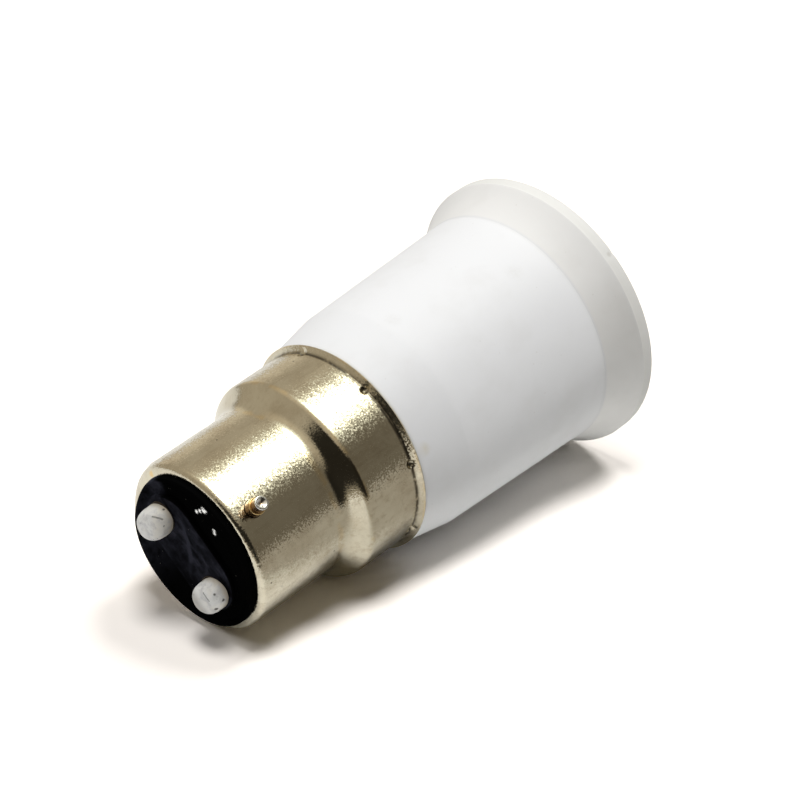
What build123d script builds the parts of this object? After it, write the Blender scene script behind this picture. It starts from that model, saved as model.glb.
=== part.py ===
from build123d import *
import os
from math import atan, cos, hypot, radians, sin, tan

# Bayonet-cap to screw-lamp socket adapter.
# Millimetres, +Z up. It stands on the rim of its moulded housing, with the lamp socket
# opening downwards and the bayonet cap on top. The origin is the centre of the rim.

# Screw socket
thread_radius = 13.2
thread_depth = 1.0
thread_pitch = 3.629
thread_turns = 6
collar_height = 1.6
sheet = 0.35

# Moulded housing
socket_clearance = 0.1
housing_wall = 1.35
body_length = 23.7
body_draft = 0.97
rim_overhang = 2.43
rim_height = 1.7
rim_width = 2.0
flare_height = 4.6
flare_sag = 0.15
funnel_depth = 5.0
floor_thickness = 2.5
neck_length = 6.8
spigot_wall = 1.6
spigot_gap = 0.9
edge_chamfer = 0.25

# Bayonet cap
barrel_radius = 11.0
barrel_length = 13.9
shoulder_height = 2.0
skirt_radius = 13.2
skirt_length = 7.3
lip_flare = 0.75
lip_height = 0.9
lip_step = 0.2
cap_sheet = 0.3
cap_clearance = 0.1
curl_radius = 0.6
curl_width = 0.85
shoulder_bend = 0.5
lip_bend = 0.4
crimp_count = 8
crimp_start_angle = 17.0
crimp_radius = 0.75
crimp_depth = 0.5
crimp_height = 0.95

# Cap insulator and contacts
insulator_depth = 4.8
insulator_clearance = 0.05
disc_rise = 0.5
disc_round = 0.45
plateau_rise = 0.4
plateau_length = 15.6
plateau_width = 9.0
plateau_round = 0.3
contact_spacing = 10.4
contact_radius = 2.1
contact_height = 2.5
contact_dome = 0.7
eyelet_radius = 1.2
eyelet_wall = 0.45
eyelet_flange = 0.75
eyelet_flange_thickness = 0.3

# Bayonet pins
pin_drop = 3.0
pin_reach = 2.45
pin_radius = 1.05
pin_tip_radius = 0.85
pin_tip_length = 1.25
pin_root = 1.5
pin_dimple_radius = 0.42
pin_dimple_depth = 0.25
pin_round = 0.12

# Rivets, solder tags and centre contact on the socket floor
rivet_orbit = 7.2
rivet_radius = 1.2
rivet_head_radius = 2.0
rivet_head_height = 0.65
rivet_clearance = 0.05
tag_margin = 0.15
tag_lug_width = 3.0
leaf_width = 5.0
leaf_pad = 2.4
leaf_end_gap = 1.05
leaf_hole_clearance = 0.3
leaf_ramp = 2.9
leaf_drop = 2.9
leaf_flat = 4.0
leaf_tip_run = 1.4
leaf_tip_rise = 0.8
leaf_bend = 1.0
leaf_dome_radius = 1.4
leaf_dome_height = 0.4

# Wires
core_radius = 0.4
sleeve_radius = 0.8
wire_clearance = 0.03
wire_foot_height = 0.6
wire_bow = 1.6
wire_bend_share = 0.4
joint_solder_radius = 1.15
joint_solder_height = 2.4
joint_solder_round = 0.5

# Levels along the axis, from the rim upwards
flare_top_z = rim_height + flare_height
body_top_z = flare_top_z + body_length
floor_z = body_top_z
floor_top_z = floor_z + floor_thickness
thread_start_z = floor_z - sheet - thread_turns * thread_pitch
shell_foot_z = thread_start_z - collar_height
neck_top_z = body_top_z + neck_length
lip_edge_z = neck_top_z + cap_sheet * lip_flare / hypot(lip_flare, lip_height)
skirt_foot_z = lip_edge_z + lip_height
ridge_z = skirt_foot_z + skirt_length
barrel_foot_z = ridge_z + shoulder_height
cap_end_z = barrel_foot_z + barrel_length
spigot_top_z = ridge_z - spigot_gap
insulator_foot_z = cap_end_z - insulator_depth
disc_z = cap_end_z + disc_rise
plateau_z = disc_z + plateau_rise
pin_z = cap_end_z - pin_drop
crimp_z = neck_top_z + crimp_height

# Radii that fit one another
shell_outer_radius = thread_radius + sheet
socket_radius = shell_outer_radius + socket_clearance
body_top_radius = socket_radius + housing_wall
body_foot_radius = body_top_radius + body_draft
rim_radius = body_foot_radius + rim_overhang
mouth_radius = rim_radius - rim_width
lip_radius = skirt_radius + lip_flare
neck_top_radius = lip_radius - lip_step
spigot_radius = skirt_radius - cap_sheet - cap_clearance
chamber_radius = spigot_radius - spigot_wall
barrel_bore = barrel_radius - cap_sheet
curl_bore = barrel_radius - curl_width
pin_span = 2 * (barrel_radius + pin_reach)
crimp_orbit = skirt_radius + crimp_radius - crimp_depth
shell_ring_bore = rivet_orbit + leaf_pad + leaf_end_gap
rivet_hole_radius = rivet_radius + rivet_clearance
tag_radius = rivet_head_radius + sheet + tag_margin

# The live pole is wired to the centre contact, the neutral pole to the screw shell
poles = {"live": 1, "neutral": -1}
rivet_angles = {"live": 180, "neutral": -90}
contact_orbit = contact_spacing / 2
eyelet_bore = eyelet_radius - eyelet_wall
tip_foot_z = plateau_z + eyelet_flange_thickness
tip_height = contact_height - eyelet_flange_thickness

# Wire ends: the core is soldered beside its lug below and inside its eyelet above
lug_orbit = rivet_orbit - tag_radius + sheet / 2
wire_orbit = lug_orbit - sheet / 2 - core_radius
wire_foot_z = floor_top_z + sheet + wire_foot_height
wire_top_z = cap_end_z - cap_sheet
sleeve_foot_z = wire_foot_z + joint_solder_height + sheet
sleeve_top_z = insulator_foot_z - sheet
wire_feet = {
    pole: Vector(wire_orbit * cos(radians(angle)), wire_orbit * sin(radians(angle)), 0)
    for pole, angle in rivet_angles.items()
}


def radial_plane(angle, height):
    """Plane at a height whose X direction points outwards at an angle."""
    outwards = (cos(radians(angle)), sin(radians(angle)), 0)
    return Plane(origin=(0, 0, height), x_dir=outwards, z_dir=(0, 0, 1))


def thread_points(shift):
    """Crossings of one face of the rolled thread and the crest between each two."""
    middle = thread_radius + sheet / 2 - thread_depth / 2
    slope = 2 * atan(2 * thread_depth / thread_pitch)
    crossings = []
    crests = []
    for half in range(2 * thread_turns):
        side = -1 if half % 2 == 0 else 1
        z = thread_start_z + thread_pitch * (half / 2 + 0.25)
        crossings.append((middle + shift * cos(slope), z - shift * side * sin(slope)))
        crests.append((middle + side * thread_depth / 2 + shift, z + thread_pitch / 4))
    return crossings, crests[:-1]


def thread_line(shift):
    """One face of the rolled thread as tangent arcs, from crest to crest."""
    crossings, crests = thread_points(shift)
    crest_radius = thread_radius + sheet / 2 + shift
    TangentArc((crest_radius, thread_start_z), crossings[0], tangent=(0, 1))
    for first, crest, last in zip(crossings, crests, crossings[1:]):
        ThreePointArc(first, crest, last)
    TangentArc((crest_radius, floor_z - sheet), crossings[-1], tangent=(0, -1))


def wire_route(pole, foot_end, top_end):
    """Points of a wire from its solder tag up to its contact, bowed at mid height."""
    side = poles[pole]
    foot = wire_feet[pole]
    top = Vector(0, side * contact_orbit, 0)
    middle = (foot + top) / 2 + Vector(-side * wire_bow, wire_bow / 2, 0)
    run = (sleeve_top_z - sleeve_foot_z) / 4
    return [
        foot + Vector(0, 0, foot_end),
        foot + Vector(0, 0, sleeve_foot_z + run),
        middle + Vector(0, 0, sleeve_foot_z + 2 * run),
        top + Vector(0, 0, sleeve_foot_z + 3 * run),
        top + Vector(0, 0, top_end),
    ]


def bend_radii(points):
    """Radius of each bend, from the shorter run beside it and its turn."""
    runs = [last - first for first, last in zip(points, points[1:])]
    radii = []
    for before, after in zip(runs, runs[1:]):
        shorter = min(before.length, after.length)
        radii.append(wire_bend_share * shorter / tan(radians(before.get_angle(after)) / 2))
    return radii


# Housing: one white moulding with the lamp socket below and the wire chamber above its floor
with BuildPart() as housing:
    with BuildSketch(Plane.XZ):
        with BuildLine():
            flare_start = Vector(rim_radius, rim_height)
            flare_end = Vector(body_foot_radius, flare_top_z)
            Polyline((mouth_radius, 0), (rim_radius, 0), flare_start)
            SagittaArc(flare_start, flare_end, flare_sag)
            Polyline(
                flare_end,
                (body_top_radius, body_top_z),
                (neck_top_radius, neck_top_z),
                (spigot_radius, neck_top_z),
                (spigot_radius, spigot_top_z),
                (chamber_radius, spigot_top_z),
                (chamber_radius, floor_top_z),
                (0, floor_top_z),
                (0, floor_z),
                (socket_radius, floor_z),
                (socket_radius, funnel_depth),
                (mouth_radius, 0),
            )
        make_face()
    revolve(axis=Axis.Z)
    rim_edges = housing.edges().filter_by(GeomType.CIRCLE).group_by(Axis.Z)[0]
    chamfer(rim_edges, edge_chamfer)
    with BuildSketch(Plane.XY.offset(floor_z)):
        for angle in rivet_angles.values():
            with PolarLocations(rivet_orbit, 1, start_angle=angle):
                Circle(rivet_hole_radius)
    extrude(amount=floor_thickness, mode=Mode.SUBTRACT)
    with Locations((0, 0, crimp_z)):
        with PolarLocations(crimp_orbit, crimp_count, start_angle=crimp_start_angle):
            Sphere(crimp_radius + cap_sheet + cap_clearance, mode=Mode.SUBTRACT)

# Crimps: the punched dents of the cap, as the bumps they raise on its inner face
with BuildPart() as crimp_bumps:
    with Locations((0, 0, crimp_z)):
        with PolarLocations(crimp_orbit, crimp_count, start_angle=crimp_start_angle):
            Sphere(crimp_radius + cap_sheet)
    with BuildSketch(Plane.XY.offset(neck_top_z)):
        Circle(skirt_radius - cap_sheet / 2)
    extrude(amount=ridge_z - neck_top_z, mode=Mode.INTERSECT)

# Cap shell: drawn sheet with its end curled over the insulator and its skirt crimped on
with BuildPart() as cap_shell:
    with BuildSketch(Plane.XZ):
        with BuildLine():
            FilletPolyline(
                (curl_bore, cap_end_z),
                (barrel_radius, cap_end_z),
                (barrel_radius, barrel_foot_z),
                (skirt_radius, ridge_z),
                (skirt_radius, skirt_foot_z),
                (lip_radius, lip_edge_z),
                radius=[curl_radius, shoulder_bend, shoulder_bend, lip_bend],
            )
            offset(amount=cap_sheet, side=Side.RIGHT)
        make_face()
    revolve(axis=Axis.Z)
    add(crimp_bumps.part)
    with Locations((0, 0, crimp_z)):
        with PolarLocations(crimp_orbit, crimp_count, start_angle=crimp_start_angle):
            Sphere(crimp_radius, mode=Mode.SUBTRACT)
    with BuildSketch(Plane.YZ):
        with Locations((0, pin_z)):
            Circle(pin_radius + cap_clearance / 2)
    extrude(amount=pin_span / 2, both=True, mode=Mode.SUBTRACT)

# Cap insulator: black moulded disc that fills the barrel end, with a raised bar for the contacts
with BuildPart() as cap_insulator:
    insulator_radius = barrel_bore - insulator_clearance
    disc_radius = curl_bore - insulator_clearance
    with BuildSketch(Plane.XY.offset(insulator_foot_z)):
        Circle(insulator_radius)
    extrude(amount=insulator_depth - cap_sheet)
    shoulder_edge = cap_insulator.edges().filter_by(GeomType.CIRCLE).group_by(Axis.Z)[-1]
    fillet(shoulder_edge, curl_radius - cap_sheet + insulator_clearance)
    with BuildSketch(Plane.XY.offset(cap_end_z - cap_sheet)):
        Circle(disc_radius)
    extrude(amount=cap_sheet + disc_rise)
    disc_edge = cap_insulator.edges().filter_by(GeomType.CIRCLE).group_by(Axis.Z)[-1]
    fillet(disc_edge, disc_round)
    with BuildSketch(Plane.XY.offset(disc_z)):
        SlotOverall(plateau_length, plateau_width, rotation=90)
    extrude(amount=plateau_rise)
    fillet(cap_insulator.faces().sort_by(Axis.Z)[-1].edges(), plateau_round)
    with BuildSketch(Plane.XY.offset(insulator_foot_z)):
        with PolarLocations(contact_orbit, 2, start_angle=90):
            Circle(eyelet_radius + insulator_clearance)
    extrude(amount=plateau_z - insulator_foot_z, mode=Mode.SUBTRACT)
    for side in (1, -1):
        with BuildSketch(Plane.YZ.offset(side * (barrel_radius - pin_root))):
            with Locations((0, pin_z)):
                Circle(pin_radius + insulator_clearance)
        extrude(amount=side * pin_root, mode=Mode.SUBTRACT)

# Screw shell: rolled-thread sleeve with a ring and a riveting tab against the socket floor
with BuildPart() as screw_shell:
    with BuildSketch(Plane.XZ):
        with BuildLine():
            Line((shell_outer_radius, shell_foot_z), (shell_outer_radius, thread_start_z))
            thread_line(sheet / 2)
            Polyline(
                (shell_outer_radius, floor_z - sheet),
                (shell_outer_radius, floor_z),
                (shell_ring_bore, floor_z),
                (shell_ring_bore, floor_z - sheet),
                (thread_radius, floor_z - sheet),
            )
            thread_line(-sheet / 2)
            Polyline(
                (thread_radius, thread_start_z),
                (thread_radius, shell_foot_z),
                (shell_outer_radius, shell_foot_z),
            )
        make_face()
    revolve(axis=Axis.Z)
    tab_plane = radial_plane(rivet_angles["neutral"], floor_z)
    with BuildSketch(tab_plane):
        tab_length = shell_ring_bore + sheet - rivet_orbit
        with Locations((rivet_orbit + tab_length / 2, 0)):
            Rectangle(tab_length, 2 * tag_radius)
        with Locations((rivet_orbit, 0)):
            Circle(tag_radius)
            Circle(rivet_hole_radius, mode=Mode.SUBTRACT)
    extrude(amount=-sheet)

# Centre contact: one folded spring leaf, riveted at its root and free at its tip
with BuildPart() as centre_contact:
    leaf_bend_x = -(rivet_orbit - leaf_pad)
    leaf_flat_z = floor_z - leaf_drop
    leaf_flat_end = leaf_bend_x + leaf_ramp + leaf_flat
    with BuildSketch(Plane.XZ):
        with BuildLine():
            FilletPolyline(
                (-(rivet_orbit + leaf_pad), floor_z),
                (leaf_bend_x, floor_z),
                (leaf_bend_x + leaf_ramp, leaf_flat_z),
                (leaf_flat_end, leaf_flat_z),
                (leaf_flat_end + leaf_tip_run, leaf_flat_z + leaf_tip_rise),
                radius=leaf_bend,
            )
            offset(amount=sheet, side=Side.RIGHT)
        make_face()
    extrude(amount=leaf_width / 2, both=True)
    with BuildSketch(Plane.XY.offset(floor_z)):
        with Locations((-rivet_orbit, 0)):
            Circle(rivet_radius + leaf_hole_clearance)
    extrude(amount=-sheet, mode=Mode.SUBTRACT)
    with BuildSketch(Plane.XZ):
        with BuildLine():
            dome_root = Vector(0, leaf_flat_z - sheet)
            dome_side = dome_root + Vector(leaf_dome_radius, 0)
            dome_tip = dome_root - Vector(0, leaf_dome_height)
            Polyline(dome_side, dome_root, dome_tip)
            TangentArc(dome_tip, dome_side, tangent=(1, 0))
        make_face()
    revolve(axis=Axis.Z)


# Bayonet pins: stepped studs through the barrel wall, dimpled at their ends
def bayonet_pin(side):
    """One pin along X, on the +X side or the -X side."""
    root = barrel_radius - pin_root
    tip = pin_span / 2
    step = tip - pin_tip_length
    with BuildPart() as pin:
        with BuildSketch(Plane.YZ.offset(side * root)):
            with Locations((0, pin_z)):
                Circle(pin_radius)
        extrude(amount=side * (step - root))
        with BuildSketch(Plane.YZ.offset(side * step)):
            with Locations((0, pin_z)):
                Circle(pin_tip_radius)
        extrude(amount=side * pin_tip_length)
        ends = pin.edges().filter_by(GeomType.CIRCLE).sort_by(Axis.X)
        fillet(ends[-1] if side > 0 else ends[0], pin_round)
        with BuildSketch(Plane.XY.offset(pin_z)):
            with BuildLine():
                dimple_floor = (side * (tip - pin_dimple_depth), 0)
                dimple_edge = (side * tip, pin_dimple_radius)
                Polyline((side * tip, 0), dimple_floor, dimple_edge, close=True)
            make_face()
        revolve(axis=Axis((0, 0, pin_z), (1, 0, 0)), mode=Mode.SUBTRACT)
    return pin.part


# Contacts: a brass eyelet through the insulator for each pole, closed by a solder tip
def contact_eyelet(side):
    """Flanged tube that hangs on the raised bar of the insulator."""
    with BuildPart() as eyelet:
        with BuildSketch(Plane.XY.offset(insulator_foot_z)):
            with Locations((0, side * contact_orbit)):
                Circle(eyelet_radius)
        extrude(amount=plateau_z - insulator_foot_z)
        with BuildSketch(Plane.XY.offset(plateau_z)):
            with Locations((0, side * contact_orbit)):
                Circle(eyelet_radius + eyelet_flange)
        extrude(amount=eyelet_flange_thickness)
        with Locations((0, side * contact_orbit, plateau_z + eyelet_flange_thickness)):
            Hole(eyelet_bore)
    return eyelet.part


def solder_tip(side):
    """Domed solder button on the eyelet flange, with the plug that fills its bore."""
    with BuildPart() as tip:
        with BuildSketch(Plane.XY.offset(wire_top_z)):
            with Locations((0, side * contact_orbit)):
                Circle(eyelet_bore - wire_clearance)
        extrude(amount=tip_foot_z - wire_top_z)
        with BuildSketch(Plane.XY.offset(tip_foot_z)):
            with Locations((0, side * contact_orbit)):
                Circle(contact_radius)
        extrude(amount=tip_height)
        fillet(tip.faces().sort_by(Axis.Z)[-1].edges(), contact_dome)
    return tip.part


# Rivets: through the socket floor, one for the centre contact and one for the screw shell
with BuildPart() as rivets:
    for angle in rivet_angles.values():
        with BuildSketch(Plane.XY.offset(floor_z - sheet)):
            with PolarLocations(rivet_orbit, 1, start_angle=angle):
                Circle(rivet_head_radius)
        extrude(amount=-rivet_head_height)
        with BuildSketch(Plane.XY.offset(floor_z - sheet)):
            with PolarLocations(rivet_orbit, 1, start_angle=angle):
                Circle(rivet_radius)
        extrude(amount=floor_thickness + 2 * sheet)
        with BuildSketch(Plane.XY.offset(floor_top_z + sheet)):
            with PolarLocations(rivet_orbit, 1, start_angle=angle):
                Circle(rivet_head_radius)
        extrude(amount=rivet_head_height)
    head_edges = rivets.edges().filter_by(GeomType.CIRCLE).group_by(Axis.Z)
    fillet(head_edges[0] + head_edges[-1], rivet_head_height / 2)


def solder_tag(pole):
    """Ring clinched under a rivet head, with a lug folded upright on its inner side."""
    with BuildPart() as tag:
        with BuildSketch(radial_plane(rivet_angles[pole], floor_top_z)):
            with Locations((rivet_orbit, 0)):
                Circle(tag_radius)
            with Locations((rivet_orbit - tag_radius / 2, 0)):
                Rectangle(tag_radius, tag_lug_width)
            with Locations((rivet_orbit, 0)):
                Circle(rivet_hole_radius, mode=Mode.SUBTRACT)
        extrude(amount=sheet)
        with BuildSketch(radial_plane(rivet_angles[pole], floor_top_z)):
            with Locations((lug_orbit, 0)):
                Rectangle(sheet, tag_lug_width)
        extrude(amount=wire_foot_z + joint_solder_height - floor_top_z)
    return tag.part


def tag_solder(pole):
    """Bead that joins the bare wire end to the lug of its tag."""
    with BuildPart() as bead:
        with BuildSketch(radial_plane(rivet_angles[pole], wire_foot_z)):
            with Locations((wire_orbit, 0)):
                Circle(joint_solder_radius)
        extrude(amount=joint_solder_height)
        fillet(bead.edges().filter_by(GeomType.CIRCLE), joint_solder_round)
        with BuildSketch(radial_plane(rivet_angles[pole], wire_foot_z)):
            with Locations((lug_orbit - sheet / 2, 0)):
                Rectangle(tag_lug_width, tag_lug_width, align=(Align.MIN, Align.CENTER))
            with Locations((wire_orbit, 0)):
                Circle(core_radius + wire_clearance)
        extrude(amount=joint_solder_height, mode=Mode.SUBTRACT)
    return bead.part


# Wires: a bare copper core from tag to contact, inside a plastic sleeve between its ends
def wire_core(pole):
    """Solid core along its whole route."""
    route = wire_route(pole, wire_foot_z, wire_top_z)
    with BuildPart() as core:
        with BuildLine() as path:
            FilletPolyline(*route, radius=bend_radii(route))
        with BuildSketch(Plane.XY.offset(wire_foot_z)):
            with Locations((wire_feet[pole].X, wire_feet[pole].Y)):
                Circle(core_radius)
        sweep(path=path.line)
    return core.part


def wire_sleeve(pole):
    """Tube around the core, stripped back at the tag and below the eyelet."""
    radii = bend_radii(wire_route(pole, wire_foot_z, wire_top_z))
    route = wire_route(pole, sleeve_foot_z, sleeve_top_z)
    with BuildPart() as sleeve:
        with BuildLine() as path:
            FilletPolyline(*route, radius=radii)
        with BuildSketch(Plane.XY.offset(sleeve_foot_z)):
            with Locations((wire_feet[pole].X, wire_feet[pole].Y)):
                Circle(sleeve_radius)
                Circle(core_radius + wire_clearance, mode=Mode.SUBTRACT)
        sweep(path=path.line)
    return sleeve.part


pieces = {
    "housing": housing.part,
    "cap_shell": cap_shell.part,
    "cap_insulator": cap_insulator.part,
    "screw_shell": screw_shell.part,
    "centre_contact": centre_contact.part,
    "rivets": rivets.part,
    "front_pin": bayonet_pin(1),
    "rear_pin": bayonet_pin(-1),
}
for pole, side in poles.items():
    pieces[f"{pole}_eyelet"] = contact_eyelet(side)
    pieces[f"{pole}_contact"] = solder_tip(side)
    pieces[f"{pole}_tag"] = solder_tag(pole)
    pieces[f"{pole}_tag_solder"] = tag_solder(pole)
    pieces[f"{pole}_wire_core"] = wire_core(pole)
    pieces[f"{pole}_wire_sleeve"] = wire_sleeve(pole)

os.makedirs("parts", exist_ok=True)
for name, piece in pieces.items():
    piece.label = name
    export_step(piece, f"parts/{name}.step")
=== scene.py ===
"""Looks of a bayonet-to-screw lamp socket adapter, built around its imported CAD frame.

Metres, +Z up. The adapter stands on its rim in the frame, and the photograph shows it lying on
its side, so the table of the stage touches that side and the camera is rolled to match.
"""

from collections import namedtuple
from math import atan2, cos, exp, hypot, pi, radians, sin, sqrt, tan

import bmesh
import bpy
from bpy.props import FloatProperty, FloatVectorProperty, IntProperty, PointerProperty
from mathutils import Matrix, Vector, noise


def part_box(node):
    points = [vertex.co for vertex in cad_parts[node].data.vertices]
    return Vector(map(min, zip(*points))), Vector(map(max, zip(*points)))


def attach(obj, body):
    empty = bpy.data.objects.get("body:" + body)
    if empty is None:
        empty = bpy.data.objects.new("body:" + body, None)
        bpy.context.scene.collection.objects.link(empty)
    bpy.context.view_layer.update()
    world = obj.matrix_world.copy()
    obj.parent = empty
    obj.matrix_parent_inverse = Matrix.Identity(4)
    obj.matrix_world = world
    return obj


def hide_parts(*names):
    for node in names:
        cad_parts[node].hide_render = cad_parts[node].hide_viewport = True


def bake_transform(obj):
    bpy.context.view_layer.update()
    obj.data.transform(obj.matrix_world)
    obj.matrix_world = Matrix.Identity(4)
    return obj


bl_info = {
    "name": "Lamp socket adapter",
    "version": (1, 0, 0),
    "blender": (4, 5, 0),
    "location": "3D View > Sidebar > Adapter",
    "description": "Dresses the packed lamp socket adapter and sets its stage",
    "category": "Object",
}

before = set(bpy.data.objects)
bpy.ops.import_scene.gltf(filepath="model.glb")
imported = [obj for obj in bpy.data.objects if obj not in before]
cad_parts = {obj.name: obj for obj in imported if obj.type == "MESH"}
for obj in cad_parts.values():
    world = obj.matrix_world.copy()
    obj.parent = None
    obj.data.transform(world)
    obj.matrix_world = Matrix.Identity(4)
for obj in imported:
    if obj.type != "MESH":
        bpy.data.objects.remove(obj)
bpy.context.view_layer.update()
HOUSING_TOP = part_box("housing")[1]
CAP_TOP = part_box("cap_shell")[1]
INSULATOR_FOOT, INSULATOR_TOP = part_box("cap_insulator")
TIP_FOOT, TIP_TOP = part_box("live_contact")
PIN_ROOT, PIN_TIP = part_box("front_pin")
SCREW_FOOT, SCREW_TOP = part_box("screw_shell")
LEAF_FOOT, LEAF_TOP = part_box("centre_contact")

MM = 0.001
SHARP_EDGE = radians(40)
AXIS_RADIUS = 1e-7
SIDES = (1, -1)

# Length of a cutter against the depth that it passes through
CUT_THROUGH = 4


# Properties

def from_frame(name, description, metres):
    """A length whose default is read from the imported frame."""
    return FloatProperty(name=name, description=description, default=metres, unit="LENGTH", precision=5)


def length(name, description, millimetres):
    """A length that a user may change, given in millimetres."""
    return from_frame(name, description, millimetres * MM)


def angle(name, description, degrees):
    """An angle that a user may change, given in degrees."""
    return FloatProperty(name=name, description=description, default=radians(degrees), unit="ROTATION")


def colour(name, description, red, green, blue):
    """A linear colour that a user may change."""
    start = (red, green, blue, 1.0)
    return FloatVectorProperty(
        name=name, description=description, default=start, size=4, subtype="COLOR", min=0, max=2
    )


def number(name, description, default):
    """A plain number that a user may change."""
    return FloatProperty(name=name, description=description, default=default, precision=3)


class HousingSizes(bpy.types.PropertyGroup):
    """Sizes of the white moulded housing."""

    rim_radius: from_frame("Rim radius", "Outer radius of the rim", HOUSING_TOP.x)
    rim_height: length("Rim height", "Height of the straight rim band", 1.7)
    mouth_radius: length("Mouth radius", "Radius of the lamp opening", 16.4)
    flare_top: length("Flare top", "Height where the flared rim meets the body", 6.3)
    flare_sag: length("Flare sag", "How hollow the flare is", 0.15)
    body_foot_radius: length("Body foot radius", "Radius of the body above the flare", 15.97)
    body_top_radius: length("Body top radius", "Radius of the body below the neck", 15.0)
    neck_radius: length("Neck radius", "Radius of the neck under the cap", 13.75)
    neck_top: length("Neck top", "Height where the cap begins", 36.8)
    spigot_radius: length("Spigot radius", "Radius of the spigot inside the cap", 12.8)
    spigot_top: from_frame("Spigot top", "Top of the spigot", HOUSING_TOP.z)
    chamber_radius: length("Chamber radius", "Radius of the wire chamber", 11.2)
    floor_low: length("Floor, lower face", "Height of the socket floor", 30.0)
    floor_top: length("Floor, upper face", "Height of the chamber floor", 32.5)
    socket_radius: length("Socket radius", "Radius of the bore for the screw shell", 13.65)
    funnel_top: length("Funnel top", "Height where the mouth meets the bore", 5.0)
    rivet_orbit: length("Rivet orbit", "Distance of each rivet from the axis", 7.2)
    rivet_hole_radius: length("Rivet hole radius", "Radius of each rivet hole", 1.25)


class CapSizes(bpy.types.PropertyGroup):
    """Sizes of the plated bayonet cap."""

    sheet: length("Sheet", "Thickness of the drawn sheet", 0.3)
    lip_radius: from_frame("Lip radius", "Radius of the flared lip", CAP_TOP.x)
    skirt_radius: length("Skirt radius", "Radius of the skirt", 13.2)
    barrel_radius: length("Barrel radius", "Radius of the barrel", 11.0)
    curl_bore: length("Curl bore", "Radius of the opening in the curled end", 10.0)
    lip_edge: length("Lip edge", "Height of the lip's outer edge", 36.992)
    skirt_foot: length("Skirt foot", "Height where the lip meets the skirt", 37.5)
    ridge: length("Ridge", "Height where the skirt meets the shoulder", 45.192)
    barrel_foot: length("Barrel foot", "Height where the shoulder meets the barrel", 47.192)
    end: from_frame("Cap end", "Height of the curled end", CAP_TOP.z)
    curl: length("Curl", "Radius of the curled end", 0.75)
    ridge_bend: length("Ridge bend", "Radius of the bend between skirt and shoulder", 1.2)
    foot_bend: length("Foot bend", "Radius of the bend between shoulder and barrel", 2.4)
    lip_bend: length("Lip bend", "Radius of the bend above the lip", 0.25)
    crimp_radius: length("Crimp radius", "Radius of the punch that made the crimps", 0.56)
    crimp_orbit: length("Crimp orbit", "Distance of the punch's centre from the axis", 13.45)
    crimp_height: length("Crimp height", "Height of the crimps", 37.75)
    crimp_angle: angle("Crimp angle", "Direction of the first crimp", 17)
    crimps: IntProperty(name="Crimps", description="Number of crimps", default=8, min=1)
    waviness: length("Waviness", "How far the drawn sheet wanders from round", 0.03)
    push: length("Push", "How far the curled end is pushed in on one side", 0.88)
    push_depth: length("Push depth", "How far that push reaches down the barrel", 2.0)
    push_angle: angle("Push angle", "Direction of the middle of that push", 108)
    push_spread: angle("Push spread", "How far round it reaches", 34)
    pin_hole_radius: length("Pin hole radius", "Radius of the holes for the bayonet pins", 1.1)


class InsulatorSizes(bpy.types.PropertyGroup):
    """Sizes of the black insulator in the cap's end."""

    radius: from_frame("Radius", "Radius inside the barrel", INSULATOR_TOP.x)
    foot: from_frame("Foot", "Height of the lower face", INSULATOR_FOOT.z)
    shoulder: length("Shoulder", "Height of the step under the curl", 60.792)
    shoulder_round: length("Shoulder round", "Rounding of that step", 0.6)
    rim_radius: length("Rim radius", "Radius of the disc inside the curl", 9.95)
    rim_top: length("Rim top", "Height of the disc's rim", 61.85)
    rim_round: length("Rim round", "Rounding of the disc's rim", 0.15)
    rim_share: number("Rim share", "Part of the disc between its rim and the bar that slopes down", 0.35)
    bar_top: from_frame("Bar top", "Height of the raised bar", INSULATOR_TOP.z)
    bar_radius: length("Bar radius", "Half the width of the raised bar", 4.5)
    bar_reach: length("Bar reach", "Distance from the axis to the centre of each bar end", 3.3)
    bar_round: length("Bar round", "Rounding of the bar's edges", 0.3)
    dish: length("Dish", "How far the disc lies below its rim", 0.45)
    trough_width: length("Trough width", "Half the width of the hollow along the bar", 2.0)
    trough_flare: length("Trough flare", "How much wider the hollow is at its ends", 1.9)
    trough_reach: length("Trough reach", "Half the length of that hollow", 4.0)
    trough_depth: length("Trough depth", "Depth of that hollow", 0.3)


class ContactSizes(bpy.types.PropertyGroup):
    """Sizes of the solder contacts and their eyelets."""

    orbit: length("Contact orbit", "Distance of each contact from the axis", 5.2)
    seat: length("Seat", "Radius where the solder rests on its eyelet", 1.7)
    plug_radius: length("Plug radius", "Radius of the solder in the eyelet", 0.72)
    plug_foot: from_frame("Plug foot", "Lower end of the solder in the eyelet", TIP_FOOT.z)
    foot: length("Contact foot", "Height where the tip sits on its eyelet", 62.292)
    top: from_frame("Contact top", "Height of each solder tip", TIP_TOP.z)
    bead_width: length("Bead width", "Half the width of the solder along the bar", 1.97)
    live_length: length("Live length", "Half the length of the live bead across the bar", 2.95)
    live_shift: length("Live shift", "How far the live bead lies off the middle of its eyelet", -0.5)
    neutral_length: length("Neutral length", "Half the length of the neutral bead across the bar", 2.75)
    neutral_shift: length("Neutral shift", "How far the neutral bead lies off the middle of its eyelet", 0.3)
    bead_spread: length("Bead spread", "How far both beads lie further out along the bar", 0.07)
    bead_drift: length("Bead drift", "How far both beads lie towards one end of the bar", -0.16)
    bead_edge: length("Bead edge", "Height of the bead's widest part above the eyelet", 0.1)
    squareness: number("Squareness", "Power of the bead's outline, 2 for an ellipse", 4.0)
    lumps: length("Lumps", "How uneven the solder is", 0.07)
    eyelet_hole_radius: length("Eyelet hole radius", "Radius of the eyelet holes in the insulator", 1.25)


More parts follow.
